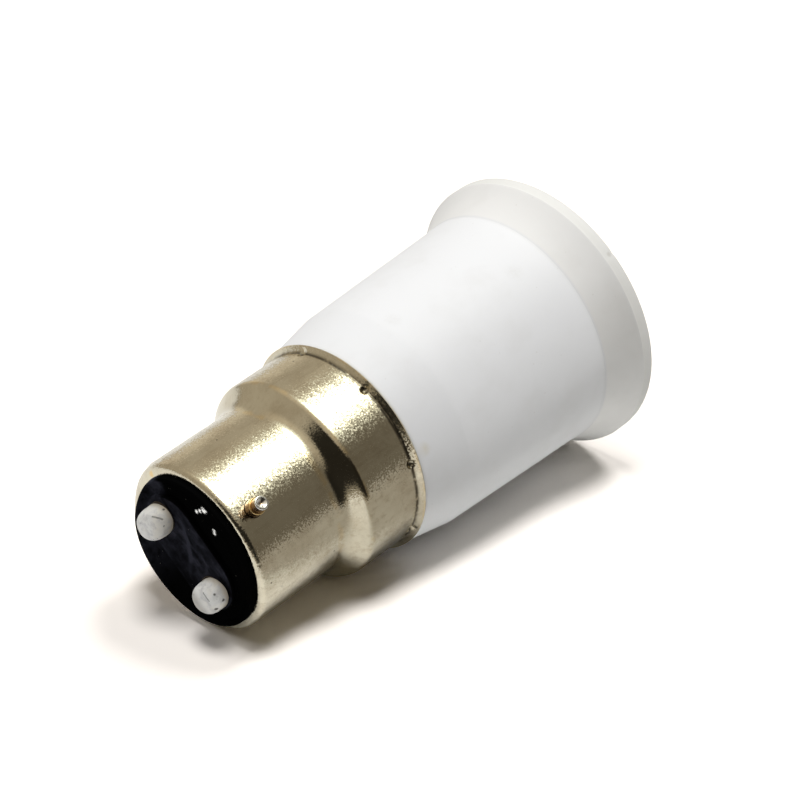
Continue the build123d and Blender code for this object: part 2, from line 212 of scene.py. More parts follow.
class PinSizes(bpy.types.PropertyGroup):
    """Sizes of the bayonet pins."""

    height: length("Pin height", "Height of the pins' axis", 58.092)
    root: from_frame("Pin root", "Inner end of each pin", PIN_ROOT.x)
    step: length("Pin step", "Distance of the step from the axis", 12.2)
    tip: from_frame("Pin tip", "Distance of the tip from the axis", PIN_TIP.x)
    radius: length("Pin radius", "Radius of the root", 1.05)
    tip_radius: length("Pin tip radius", "Radius of the tip", 0.85)
    dimple_radius: length("Dimple radius", "Radius of the dimple in the tip", 0.60)
    dimple_depth: length("Dimple depth", "Depth of that dimple", 0.35)
    edge: length("Pin edge", "Rounding of the pin's edges", 0.12)


class SocketSizes(bpy.types.PropertyGroup):
    """Sizes of the screw shell and the centre contact."""

    groove_radius: length("Groove radius", "Inner radius of the thread's grooves", 13.2)
    depth: length("Thread depth", "Depth of the rolled thread", 1.0)
    pitch: length("Thread pitch", "Rise of the thread in one turn", 3.629)
    sheet: length("Sheet", "Thickness of the shell and the leaf", 0.35)
    foot: from_frame("Shell foot", "Lower edge of the screw shell", SCREW_FOOT.z)
    thread_start: length("Thread start", "Height where the thread begins", 7.876)
    floor: from_frame("Floor", "Height of the socket floor", SCREW_TOP.z)
    ring_bore: length("Ring bore", "Inner radius of the shell's ring", 10.65)
    tab_radius: length("Tab radius", "Radius of the riveting tab", 2.5)
    leaf_width: length("Leaf width", "Width of the centre contact", 5.0)
    leaf_root: from_frame("Leaf root", "Outer end of the centre contact", LEAF_FOOT.x)
    leaf_fold: length("Leaf fold", "Where the leaf leaves the floor", -4.8)
    leaf_flat_start: length("Leaf flat start", "Where the leaf's flat begins", -1.9)
    leaf_flat_end: length("Leaf flat end", "Where the leaf's flat ends", 2.1)
    leaf_tip: from_frame("Leaf tip", "Free end of the leaf", LEAF_TOP.x)
    leaf_drop: length("Leaf drop", "How far the flat lies below the floor", 2.9)
    leaf_tip_rise: length("Leaf tip rise", "How far the free end turns up", 0.8)
    leaf_bend: length("Leaf bend", "Radius of the leaf's bends", 1.0)
    leaf_hole_radius: length("Leaf hole radius", "Radius of the leaf's rivet hole", 1.5)
    dome_radius: length("Dome radius", "Radius of the stamped dome", 1.4)
    dome_height: length("Dome height", "Height of the stamped dome", 0.4)


class StageSizes(bpy.types.PropertyGroup):
    """Places of the camera, the table and the light."""

    lens: number("Lens", "Focal length on a 36 mm sensor", 117.0)
    view_distance: length("View distance", "Camera's distance from the point it looks at", 318.5)
    view_elevation: angle("View elevation", "Camera's height above the rim plane", 34.19)
    view_roll: angle("View roll", "Turn of the camera about its own line of sight", 124.87)
    aim_height: length("Aim height", "Height of the point that the camera looks at", 25.84)
    aim_side: length("Aim side", "Distance of that point from the axis", 0.58)
    table_angle: angle("Table angle", "Direction of the side that the adapter lies on", 225.4)
    table_size: length("Table size", "Width of the table", 1600)
    table_front: length("Table front", "Reach of the table in front of the adapter", 90)
    table_gap: length("Table gap", "Gap between the table and the adapter", 0.22)
    lamp_distance: length("Lamp distance", "Distance of each lamp", 700)
    side_size: length("Side lamp size", "Width of the side lamp", 250)
    side_azimuth: angle("Side lamp azimuth", "Direction of the side lamp on the table", 25)
    side_elevation: angle("Side lamp elevation", "Height of the side lamp above the table", 66)
    side_power: number("Side lamp power", "Power of the side lamp in watts", 2.22)
    top_size: length("Top lamp size", "Width of the top lamp", 260)
    top_azimuth: angle("Top lamp azimuth", "Direction of the top lamp on the table", -90)
    top_elevation: angle("Top lamp elevation", "Height of the top lamp above the table", 80)
    top_power: number("Top lamp power", "Power of the top lamp in watts", 2.65)
    fill_size: length("Fill lamp size", "Width of the fill lamp", 260)
    fill_azimuth: angle("Fill lamp azimuth", "Direction of the fill lamp on the table", 175)
    fill_elevation: angle("Fill lamp elevation", "Height of the fill lamp above the table", 34)
    fill_power: number("Fill lamp power", "Power of the fill lamp in watts", 1.0)


class Finishes(bpy.types.PropertyGroup):
    """Colours of the finishes."""

    white: colour("White plastic", "Moulded housing", 0.87, 0.88, 0.89)
    # Painted light: a paler copy of the white that brightens the flare
    flare_lit_white: colour("Flare white", "Paler plastic of the flare", 0.92, 0.915, 0.89)
    warm_white: colour("Warm white plastic", "Flared rim of the housing", 0.84, 0.84, 0.81)
    # Also painted shade: in the housing's corners, on one side of the flare and on one side of the neutral
    # bead
    smudge_and_shade: colour("Smudge", "Handling marks on the housing", 0.55, 0.53, 0.48)
    scuff: colour("Scuff", "Yellow scuff beside the cap", 0.62, 0.52, 0.28)
    nickel: colour("Nickel", "Plating of the cap", 0.72, 0.67, 0.53)
    tarnish: colour("Tarnish", "Duller plating", 0.50, 0.43, 0.31)
    brass: colour("Brass", "Brass that shows at worn edges", 0.80, 0.58, 0.26)
    # Also painted shade, in the groove above the cap's lip and at the pins' roots
    grime_and_shade: colour("Grime", "Dirt in grooves", 0.05, 0.04, 0.03)
    black: colour("Black", "Moulded insulator", 0.002, 0.002, 0.002)
    # Also painted sheen on the insulator's bar, with a painted highlight along its crease
    dust_and_sheen: colour("Dust", "Bluish dust on the raised bar", 0.045, 0.047, 0.064)
    solder: colour("Solder", "Solder of the contacts", 0.92, 0.92, 0.90)
    cream: colour("Cream", "Flux stain on the solder", 0.90, 0.86, 0.77)
    pin: colour("Pin", "Brown brass of the pins", 0.42, 0.27, 0.15)
    steel: colour("Steel", "Rivets", 0.55, 0.55, 0.56)
    copper: colour("Copper", "Wire cores", 0.78, 0.40, 0.25)
    live_sleeve: colour("Live sleeve", "Brown sleeve of the live wire", 0.16, 0.07, 0.03)
    neutral_sleeve: colour("Neutral sleeve", "Blue sleeve of the neutral wire", 0.03, 0.10, 0.30)
    table: colour("Table", "White table", 0.95, 0.95, 0.94)
    # Painted shadow: the table in front of the adapter, as only the metal mirrors it
    table_front: colour("Table in front", "Front of the table as the metal mirrors it", 0.42, 0.40, 0.36)
    table_seen: colour("Table in view", "White table as the camera sees it", 1.34, 1.28, 1.22)
    room: colour("Room", "Warm light from the room", 1.0, 0.89, 0.71)
    ceiling: colour("Ceiling", "Bright ceiling that the metal mirrors", 0.98, 1.0, 0.90)
    lamp: colour("Lamp", "Colour of the lamps", 1.0, 0.99, 0.98)


class AdapterSettings(bpy.types.PropertyGroup):
    """All sizes and colours of the adapter."""

    housing: PointerProperty(type=HousingSizes)
    cap: PointerProperty(type=CapSizes)
    insulator: PointerProperty(type=InsulatorSizes)
    contact: PointerProperty(type=ContactSizes)
    pin: PointerProperty(type=PinSizes)
    socket: PointerProperty(type=SocketSizes)
    stage: PointerProperty(type=StageSizes)
    finish: PointerProperty(type=Finishes)


# Shader nodes

class Shade:
    """One socket in a node tree. Arithmetic on it adds Math nodes, and node() adds any other kind."""

    def __init__(self, tree, socket=None):
        self.tree = tree
        self.socket = socket

    def node(self, kind, settings=None, inputs=None, output=0):
        """Adds a node: its settings first, then the values or links of its sockets."""
        made = self.tree.nodes.new(kind)
        for name, value in (settings or {}).items():
            setattr(made, name, value)
        for name, value in (inputs or {}).items():
            if isinstance(value, Shade):
                self.tree.links.new(value.socket, made.inputs[name])
            else:
                made.inputs[name].default_value = value
        return Shade(self.tree, made.outputs[output] if made.outputs else None)

    def math(self, operation, *terms):
        """Adds a Math node."""
        return self.node("ShaderNodeMath", {"operation": operation}, dict(enumerate(terms)))

    def vector(self, operation, *terms, output=0):
        """Adds a Vector Math node."""
        return self.node("ShaderNodeVectorMath", {"operation": operation}, dict(enumerate(terms)), output)

    def __add__(self, other):
        return self.math("ADD", self, other)

    def __radd__(self, other):
        return self.math("ADD", other, self)

    def __sub__(self, other):
        return self.math("SUBTRACT", self, other)

    def __rsub__(self, other):
        return self.math("SUBTRACT", other, self)

    def __mul__(self, other):
        return self.math("MULTIPLY", self, other)

    def __rmul__(self, other):
        return self.math("MULTIPLY", other, self)

    def __abs__(self):
        return self.math("ABSOLUTE", self)

    def most(self, other):
        """The larger of two values."""
        return self.math("MAXIMUM", self, other)

    def rise(self, low, high):
        """A smooth step from 0 at low to 1 at high."""
        limits = {"Value": self, "From Min": low, "From Max": high}
        return self.node("ShaderNodeMapRange", {"interpolation_type": "SMOOTHSTEP"}, limits)

    def band(self, middle, half_width):
        """1 at a middle value, falling smoothly to 0 at half a width on either side."""
        return 1 - abs(self - middle).rise(0, half_width)

    def mix(self, first, second):
        """A colour between two, where this value is the share of the second."""
        inputs = {"Factor": self, 6: first, 7: second}
        return self.node("ShaderNodeMix", {"data_type": "RGBA"}, inputs, 2)

    def scaled(self, x, y, z):
        """A vector times a factor on each axis."""
        return self.vector("MULTIPLY", self, (x, y, z))

    def along(self, direction):
        """How far a vector reaches along a direction."""
        return self.vector("DOT_PRODUCT", self, tuple(direction), output="Value")

    def away_from(self, place):
        """The distance of a point from a place."""
        return self.vector("DISTANCE", self, tuple(place), output="Value")

    def mark(self, mark):
        """A mark's strength close to its place, falling smoothly to 0 where the mark ends."""
        return mark.strength * (1 - self.away_from(mark.place).rise(mark.full, mark.gone))

    def part(self, axis):
        """One part of a vector: X, Y or Z."""
        return self.node("ShaderNodeSeparateXYZ", None, {0: self}, axis)

    def cloud(self, scale, detail=2.0, roughness=0.5):
        """Smooth noise at a point."""
        inputs = {"Vector": self, "Scale": scale, "Detail": detail, "Roughness": roughness}
        return self.node("ShaderNodeTexNoise", None, inputs, "Fac")

    def flecks(self, scale, full, gone):
        """1 on many scattered flecks, falling smoothly to 0 around each."""
        spread = self.node("ShaderNodeTexVoronoi", None, {"Vector": self, "Scale": scale}, "Distance")
        return 1 - spread.rise(full, gone)

    def bump(self, distance):
        """A normal that is tilted by this height."""
        return self.node("ShaderNodeBump", None, {"Height": self, "Strength": 1.0, "Distance": distance})

    def speckled(self, point, scale, tilt):
        """This normal, tilted a little differently on each of many small facets."""
        facets = self.node("ShaderNodeTexVoronoi", None, {"Vector": point, "Scale": scale}, "Color")
        lean = self.vector("SUBTRACT", facets, MIDDLE_COLOUR)
        lean = self.node("ShaderNodeVectorMath", {"operation": "SCALE"}, {0: lean, "Scale": tilt})
        return self.vector("NORMALIZE", self.vector("ADD", self, lean))


def new_material(name):
    """An empty material, and its surface point in millimetres."""
    material = bpy.data.materials.new(name)
    material.use_nodes = True
    material.node_tree.nodes.clear()
    shade = Shade(material.node_tree)
    point = shade.node("ShaderNodeTexCoord", output="Object").scaled(1 / MM, 1 / MM, 1 / MM)
    return material, point


def principled(point, sockets):
    """Closes a material with one Principled shader."""
    surface = point.node("ShaderNodeBsdfPrincipled", None, sockets)
    point.node("ShaderNodeOutputMaterial", None, {"Surface": surface})


def on_cylinder(radius, degrees, height):
    """A place in millimetres on a cylinder about Z."""
    return radius * cos(radians(degrees)), radius * sin(radians(degrees)), height


# Materials. Their lengths are in millimetres, and each amount stands beside the mark that it weighs.

MIDDLE_COLOUR = (0.5, 0.5, 0.5)

# One mark that the photograph shows: its place, where it is full, where it has gone, and its strength
Mark = namedtuple("Mark", "place full gone strength", defaults=(1.0,))

BODY_SMUDGE = Mark(on_cylinder(15.7, 20, 11.5), 0.3, 1.6, 0.12)
BODY_DABS = Mark(on_cylinder(15.1, 36, 28.4), 0.2, 1.5, 0.14)
RIM_NICK = Mark(on_cylinder(18.4, 1.8, 0.7), 0.1, 0.5, 0.45)
# Painted warm shade on one side of the flare
FLARE_WARM_SHADE = Mark(on_cylinder(17.2, -24, 4.0), 2.0, 8.0, 0.14)
NECK_SCUFF = Mark(on_cylinder(13.95, -24, 35.7), 0.2, 1.2)
CURL_BURR = Mark((1.71, 9.91, 61.1), 0.25, 0.55, 0.8)
# Dusty film with painted sheen beside the curl
DUST_AND_SHEEN_PATCH = Mark((1.5, 8.75, 61.5), 0.6, 2.2)
# Bright metal spots placed where glints show: painted glints
GLINT_SPOTS = (
    Mark((7.55, 3.0, 61.4), 0.30, 0.62),
    Mark((6.0, 3.35, 61.4), 0.12, 0.38),
    Mark((6.7, 3.2, 61.4), 0.12, 0.38),
    Mark((6.5, 0.2, 61.4), 0.12, 0.38),
    Mark((6.75, 0.45, 61.4), 0.12, 0.38),
)

# Heights on the cap with half the width of each: bends rubbed down to brass, and a groove darkened with
# painted shade
WORN_BENDS = ((48.2, 0.7), (45.0, 0.5), (36.95, 0.25))
GROOVE_SHADE = (37.65, 0.38)
SHOULDER_HEIGHT = 46.3
SHOULDER_REACH = (1.2, 2.2)

# Direction of the dirty side of the cap, and the distances along it between which the dirt sets in
DIRTY_SIDE = on_cylinder(1.0, -58, 0.0)
DIRTY_REACH = (7.0, 11.0)

# Squared distances from the middle line of the insulator's bar between which its face with dusty film and
# painted sheen ends
BAR_EDGE = (17.6, 19.8)

# The painted highlight along a crease on that bar: slope and curve of its line, offset and width, middle and
# half length
CREASE_SLOPE = 0.975
CREASE_CURVE = 0.069
CREASE_BAND = (-0.2, 0.8)
CREASE_SPAN = (1.0, 3.8)

# Where the solder changes: the heights of its dark foot and of its lower sides with painted shade, and the
# side that flux has stained
BEAD_FOOT = (62.4, 64.0)
BEAD_EDGE_SHADE = (63.0, 63.9)
STAINED_SIDE = (1.0, -1.0, 0.0)
STAINED_REACH = (-4.6, -3.4)
POLE_CHANGE = (-0.5, 0.5)

# Distances along a pin: its root with painted shade where it leaves the barrel, its step with half the
# width, and its rubbed tip
PIN_ROOT_SHADE = (11.1, 11.6)
PIN_STEP = (12.15, 0.18)
PIN_SHINE = (13.25, 13.5)

# Heights between which an eyelet comes out of the insulator
EYELET_FLANGE = (61.75, 61.95)

# Marks on the solder beads: dark spots with a radius, and scratches from end to end
SOLDER_SPOTS = (
    ((2.31, 5.73, 62.69), 0.14),
    ((1.93, 4.17, 63.68), 0.08),
    ((0.63, -3.50, 62.97), 0.12),
    ((2.82, -5.51, 63.88), 0.12),
    ((1.43, -6.99, 63.98), 0.22),
    ((0.84, -7.34, 63.36), 0.15),
    ((2.52, -6.60, 63.16), 0.18),
)
SPOT_FADE = 0.2
SOLDER_SCRATCHES = (
    ((1.74, 5.80, 64.12), (2.17, 5.35, 63.92)),
    ((2.17, 5.35, 63.92), (2.35, 4.89, 63.59)),
    ((1.70, -4.64, 64.33), (1.77, -5.75, 64.36)),
)
SCRATCH_STEPS = 6
SCRATCH_EDGE = (0.08, 0.20)


def white_plastic(adapter):
    """Glossy white moulding with a warmer rim, faint handling marks, a scuff beside the cap, a flare painted
    paler as painted light, and painted shade on one side of the flare and in two corners.
    """
    finish = adapter.finish
    rim_top = adapter.housing.rim_height / MM
    flare_top = adapter.housing.flare_top / MM
    neck_top = adapter.housing.neck_top / MM
    material, point = new_material("white_plastic")
    height = point.part("Z")
    flare = 1 - height.rise(flare_top - 0.4, flare_top)
    mottle = 0.75 + 0.25 * point.cloud(0.25, 3.0)
    # The flare is painted paler here, as painted light
    base = (flare * mottle).mix(finish.white, finish.flare_lit_white)
    base = (1 - height.rise(rim_top - 0.2, rim_top + 0.1)).mix(base, finish.warm_white)
    fine = point.cloud(2.2, 4.0, 0.65)
    specks = point.flecks(0.9, 0.03, 0.11) * point.cloud(0.4).rise(0.52, 0.6)
    smudges = (point.mark(BODY_SMUDGE) + point.mark(BODY_DABS)) * (0.4 + 0.6 * fine.rise(0.38, 0.65))
    handled = point.cloud(0.16, 3.0, 0.6).rise(0.45, 0.75)
    # Painted warm shade on one side of the flare
    stain = point.mark(FLARE_WARM_SHADE) * flare
    marks = smudges + 0.09 * handled + 0.3 * specks + point.mark(RIM_NICK) + stain
    base = marks.mix(base, finish.smudge_and_shade)
    scuff = point.mark(NECK_SCUFF) * (0.12 + 0.2 * point.cloud(0.7).rise(0.3, 0.7))
    base = scuff.mix(base, finish.scuff)
    # Painted shade in the corners at the flare's top and beside the cap
    corners = 0.10 * height.band(flare_top + 0.05, 0.5) + 0.22 * height.band(neck_top, 0.5)
    base = corners.mix(base, finish.smudge_and_shade)
    principled(point, {
        "Base Color": base,
        "Roughness": 0.44 + 0.14 * fine,
        "Specular IOR Level": 0.25,
        "Normal": (0.5 * point.cloud(9.0) + fine).bump(1.2e-6),
    })
    return material


def nickel_plate(finish):
    """Satin nickel on drawn brass: fine sparkling grain, cloudy tarnish, pits, worn bends, and painted shade
    in the groove above the lip.
    """
    material, point = new_material("nickel_plate")
    height = point.part("Z")
    cloudy = point.cloud(0.22, 4.0, 0.6).rise(0.35, 0.75)
    streaks = point.scaled(1.0, 1.0, 0.12).cloud(1.6, 3.0, 0.6).rise(0.45, 0.8)
    dull = 0.55 * cloudy + 0.3 * streaks
    base = dull.mix(finish.nickel, finish.tarnish)
    bends = sum(height.band(*bend) for bend in WORN_BENDS)
    worn = bends * point.cloud(0.5).rise(0.4, 0.6)
    base = (0.35 * worn).mix(base, finish.brass)
    dirt = point.along(DIRTY_SIDE).rise(*DIRTY_REACH) * point.cloud(0.9, 5.0, 0.7).rise(0.48, 0.66)
    base = (0.55 * dirt).mix(base, finish.tarnish)
    base = point.mark(CURL_BURR).mix(base, finish.brass)
    pits = point.flecks(0.55, 0.04, 0.10) * point.cloud(0.3).rise(0.5, 0.56)
    # Painted shade darkens the groove above the lip
    groove = height.band(*GROOVE_SHADE) * point.cloud(1.1, 3.0).rise(0.25, 0.5)
    base = (0.8 * pits).most(0.9 * groove).mix(base, finish.grime_and_shade)
    grain = point.cloud(4.5, 2.0, 0.6)
    peel = point.cloud(1.4)
    drawn = 1 - abs(height - SHOULDER_HEIGHT).rise(*SHOULDER_REACH)
    principled(point, {
        "Base Color": base,
        "Metallic": 1.0,
        "Roughness": 0.11 + 0.06 * grain + 0.10 * dull - 0.07 * drawn + 0.08 * dirt,
        "Normal": (grain + 0.3 * peel).bump(1.2e-5).speckled(point, 7.0, 0.14 - 0.10 * drawn),
    })
    return material


def black_insulator(adapter):
    """Black moulding, dusty on the raised bar with painted sheen and a painted highlight along its crease,
    and bright metal spots beside it as painted glints.
    """
    finish = adapter.finish
    material, point = new_material("black_insulator")
    across = point.part("X")
    along = point.part("Y")
    past_middle = (abs(along) - adapter.insulator.bar_reach / MM).most(0.0)
    raised = 1 - (across * across + past_middle * past_middle).rise(*BAR_EDGE)
    film = point.cloud(0.7, 4.0, 0.6)
    wiped = point.scaled(1.0, 0.25, 1.0).cloud(1.3, 3.0, 0.6)
    # Dusty film together with painted sheen on the raised bar
    dust_and_sheen = raised * (0.35 + 0.65 * film.rise(0.35, 0.7)) * (0.4 + 0.6 * wiped.rise(0.3, 0.7))
    dust_and_sheen = dust_and_sheen * (0.2 + 0.8 * across.rise(-3.5, 0.5))
    # Painted highlight along the crease
    crease = (across - CREASE_SLOPE * along + CREASE_CURVE * along * along).band(*CREASE_BAND)
    crease = crease * along.band(*CREASE_SPAN) * raised
    veil = (1 - across.rise(-0.5, 2.5)) * along.rise(-2.5, 5.0) * film.rise(0.2, 0.7)
    dust_and_sheen = dust_and_sheen + crease * (0.4 + film) + 0.4 * veil
    base = dust_and_sheen.mix(finish.black, finish.dust_and_sheen)
    lint = point.flecks(1.3, 0.03, 0.08) * point.cloud(0.5).rise(0.5, 0.6)
    base = (0.25 * lint).mix(base, finish.cream)
    # Dusty film with painted sheen beside the curl
    base = (point.mark(DUST_AND_SHEEN_PATCH) * film.rise(0.2, 0.6)).mix(base, finish.dust_and_sheen)
    # Bright metal spots that stand in for glints: painted glints
    glint_spots = point.mark(GLINT_SPOTS[0])
    for glint_spot in GLINT_SPOTS[1:]:
        glint_spots = glint_spots.most(point.mark(glint_spot))
    painted_glints = glint_spots * point.cloud(2.2).rise(0.32, 0.50)
    principled(point, {
        "Base Color": painted_glints.mix(base, finish.solder),
        "Metallic": painted_glints,
        "Roughness": 0.10 + 0.30 * raised * (0.5 + 0.5 * film),
        "Specular IOR Level": 0.0,
        "Normal": (film + 0.3 * point.cloud(3.0)).bump(6e-6),
    })
    return material


def solder_metal(finish):
    """Dull grey-white solder with scratches, dark specks and a cream stain on one side, and painted shade on
    each bead's lower sides and on one side of the neutral bead.
    """
    material, point = new_material("solder")
    height = point.part("Z")
    lumps = point.cloud(1.1, 5.0, 0.7)
    fine = point.cloud(5.0, 3.0, 0.6)
    specks = point.flecks(1.1, 0.03, 0.10) * point.cloud(0.7).rise(0.52, 0.60)
    for place, radius in SOLDER_SPOTS:
        specks = specks.most(1 - (point.away_from(place) + 0.2 * fine).rise(radius, radius + SPOT_FADE))
    scratches = specks
    for start, end in SOLDER_SCRATCHES:
        for step in range(SCRATCH_STEPS + 1):
            place = Vector(start).lerp(Vector(end), step / SCRATCH_STEPS)
            scratches = scratches.most(1 - (point.away_from(place) + 0.1 * fine).rise(*SCRATCH_EDGE))
    live = point.part("Y").rise(*POLE_CHANGE)
    stained_side = point.along(STAINED_SIDE).rise(*STAINED_REACH) * live
    rim = 1 - height.rise(*BEAD_FOOT)
    stain = 0.4 * point.cloud(0.45).rise(0.48, 0.68) + 0.5 * stained_side + 0.35 * rim
    base = stain.mix(finish.solder, finish.cream)
    # Painted shade on one side of the neutral bead
    painted_shade_side = (1 - (point.part("X") + lumps).rise(-0.4, 1.2)) * (1 - live)
    base = (0.75 * painted_shade_side).mix(base, finish.smudge_and_shade)
    base = (0.55 * lumps.rise(0.42, 0.68)).mix(base, finish.steel)
    # Painted shade on the lower sides of each bead
    edge = 1 - (height + 1.2 * lumps).rise(*BEAD_EDGE_SHADE)
    base = (0.7 * edge).mix(base, finish.tarnish)
    base = (0.6 * scratches).most(0.9 * specks).mix(base, finish.grime_and_shade)
    principled(point, {
        "Base Color": base,
        "Metallic": 0.2,
        "Roughness": 0.50 + 0.25 * fine,
        "Normal": (1.5 * lumps + 0.5 * fine - 1.2 * scratches).bump(7e-5),
    })
    return material


def pin_metal(finish):
    """Brown brass pin, with painted shade at its root where it leaves the barrel, rubbed bright at its tip.
    """
    material, point = new_material("pin_metal")
    reach = abs(point.part("X"))
    grain = point.cloud(5.0, 3.0, 0.6)
    rubbed = (reach + 0.3 * grain).rise(*PIN_SHINE)
    step = reach.band(*PIN_STEP)
    # Painted shade at the root, where the pin leaves the barrel
    root = 1 - (reach + 0.3 * grain).rise(*PIN_ROOT_SHADE)
    base = rubbed.mix(finish.pin, finish.solder)
    base = (0.7 * step).mix(base, finish.brass)
    base = (0.85 * root).mix(base, finish.grime_and_shade)
    principled(point, {
        "Base Color": base,
        "Metallic": 1.0,
        "Roughness": 0.16 + 0.15 * grain,
        "Normal": grain.bump(5e-6),
    })
    return material


def worn_metal(name, bright, dull, roughness, grain_scale):
    """Plain metal with cloudy tarnish, fine grain and small stains."""
    material, point = new_material(name)
    cloudy = point.cloud(0.6, 4.0, 0.6)
    grain = point.cloud(grain_scale, 3.0, 0.6)
    stains = point.flecks(1.2, 0.05, 0.2) * cloudy.rise(0.5, 0.6)
    base = (0.6 * cloudy.rise(0.35, 0.75)).mix(bright, dull)
    base = (0.5 * stains).mix(base, bpy.context.scene.adapter.finish.grime_and_shade)
    principled(point, {
        "Base Color": base,
        "Metallic": 1.0,
        "Roughness": roughness + 0.2 * grain,
        "Normal": (grain + cloudy).bump(4e-6),
    })
    return material


def eyelet_brass(finish):
    """Brass eyelet, clean inside the cap and nearly black where its flange comes out of the insulator."""
    material, point = new_material("eyelet_brass")
    grain = point.cloud(4.0, 3.0, 0.6)
    outside = (point.part("Z") + 0.1 * grain).rise(*EYELET_FLANGE)
    principled(point, {
        "Base Color": outside.most(0.3 * grain).mix(finish.brass, finish.grime_and_shade),
        "Metallic": 1 - outside,
        "Roughness": 0.3 + 0.3 * outside,
        "Specular IOR Level": 0.1,
        "Normal": grain.bump(4e-6),
    })
    return material


def sleeve_plastic(name, tint):
    """Soft extruded plastic with fine flow lines along the wire."""
    material, point = new_material(name)
    flow = point.scaled(1.0, 1.0, 0.15).cloud(4.0, 3.0, 0.6)
    paler = [min(1.0, 1.5 * part + 0.02) for part in tint[:3]] + [1.0]
    principled(point, {
        "Base Color": (0.5 * flow.rise(0.4, 0.8)).mix(tint, paler),
        "Roughness": 0.40 + 0.2 * flow,
        "Normal": flow.bump(4e-6),
    })
    return material


# Meshes

def rounded(corners, steps=8):
    """Points of an outline through corners of (r, z, rounding), with an arc at each rounded corner."""
    spots = [Vector(corner[:2]) for corner in corners]
    points = []
    for index, corner in enumerate(corners):
        spot = spots[index]
        radius = corner[2] if len(corner) > 2 else 0
        if not radius:
            points.append(spot)
            continue
        before = (spots[index - 1] - spot).normalized()
        after = (spots[(index + 1) % len(spots)] - spot).normalized()
        half_turn = before.angle(after) / 2
        middle = spot + (before + after).normalized() * (radius / sin(half_turn))
        start = spot + before * (radius / tan(half_turn)) - middle
        side = 1 if before.cross(after) < 0 else -1
        for step in range(steps + 1):
            sweep = side * (pi - 2 * half_turn) * step / steps
            points.append(middle + Matrix.Rotation(sweep, 2) @ start)
    return points


def finer(points, longest):
    """The same open outline with no run longer than a given length."""
    made = [points[0]]
    for first, last in zip(points, points[1:]):
        runs = max(1, round((last - first).length / longest + 0.49))
        made += [first.lerp(last, run / runs) for run in range(1, runs + 1)]
    return made


def offset(points, distance):
    """An open outline moved sideways by a distance."""
    moved = []
    for index, point in enumerate(points):
        tangent = points[min(index + 1, len(points) - 1)] - points[max(index - 1, 0)]
        moved.append(point + Vector((tangent.y, -tangent.x)).normalized() * distance)
    return moved


def uneven(place, feature, seed):
    """Repeatable smooth noise between -1 and 1, with features of a given size."""
    return noise.noise(Vector(place) / feature + Vector((seed, 2 * seed, 3 * seed)))


def lathe(name, outline, segments, shape=None):
    """A closed outline of (r, z) points turned about Z. shape(r, turn, z) may move each vertex."""
    shell = bmesh.new()
    rings = []
    for r, z in outline:
        if r < AXIS_RADIUS:
            rings.append([shell.verts.new((0, 0, z))] * segments)
            continue
        ring = []
        for segment in range(segments):
            turn = 2 * pi * segment / segments
            radius, level = shape(r, turn, z) if shape else (r, z)
            ring.append(shell.verts.new((radius * cos(turn), radius * sin(turn), level)))
        rings.append(ring)
    cover(shell, zip(rings, rings[1:] + rings[:1]))
    return finish_mesh(name, shell)


def cover(shell, pairs):
    """Faces between pairs of rings of vertices, and triangles where a ring is one point."""
    for low, high in pairs:
        for segment in range(len(low)):
            following = (segment + 1) % len(low)
            face = dict.fromkeys((low[segment], low[following], high[following], high[segment]))
            if len(face) > 2:
                shell.faces.new(face)


def finish_mesh(name, shell):
    """Turns a bmesh into an object with smooth faces and sharp edges."""
    bmesh.ops.recalc_face_normals(shell, faces=shell.faces)
    mesh = bpy.data.meshes.new(name)
    shell.to_mesh(mesh)
    shell.free()
    shade_smooth(mesh)
    piece = bpy.data.objects.new(name, mesh)
    bpy.context.scene.collection.objects.link(piece)
    return piece


def shade_smooth(mesh):
    """Smooth shading that keeps sharp edges."""
    mesh.polygons.foreach_set("use_smooth", [True] * len(mesh.polygons))
    mesh.set_sharp_from_angle(angle=SHARP_EDGE)


def combine(piece, tool, operation="DIFFERENCE"):
    """Cuts a closed mesh out of a piece, or joins it on, and removes that mesh."""
    change = piece.modifiers.new("combine", "BOOLEAN")
    change.object = tool
    change.operation = operation
    change.solver = "EXACT"
    graph = bpy.context.evaluated_depsgraph_get()
    mesh = bpy.data.meshes.new_from_object(piece.evaluated_get(graph))
    piece.modifiers.clear()
    piece.data = mesh
    shade_smooth(mesh)
    bpy.data.objects.remove(tool)


def rods(places, radius, depth, sides=48):
    """A cutter of cylinders, each from a matrix that puts the middle of one along its Z."""
    cutter = bmesh.new()
    for place in places:
        bmesh.ops.create_cone(
            cutter, cap_ends=True, segments=sides, radius1=radius, radius2=radius, depth=depth, matrix=place
        )
    return finish_mesh("rods", cutter)


def sideways(x, height, side=1):
    """A place on the pins' axis whose Z points along X, or against it."""
    return Matrix.Translation((x, 0, height)) @ Matrix.Rotation(side * pi / 2, 4, "Y")


def dress(piece, material, node, body="adapter"):
    """Gives a piece its finish, its body and the CAD node that it stands for."""
    piece.data.materials.clear()
    piece.data.materials.append(material)
    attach(piece, body)
    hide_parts(node)


def paint(node, material):
    """Gives a CAD node that stays in view its finish."""
    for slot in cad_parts[node].material_slots:
        slot.material = material


# Pieces

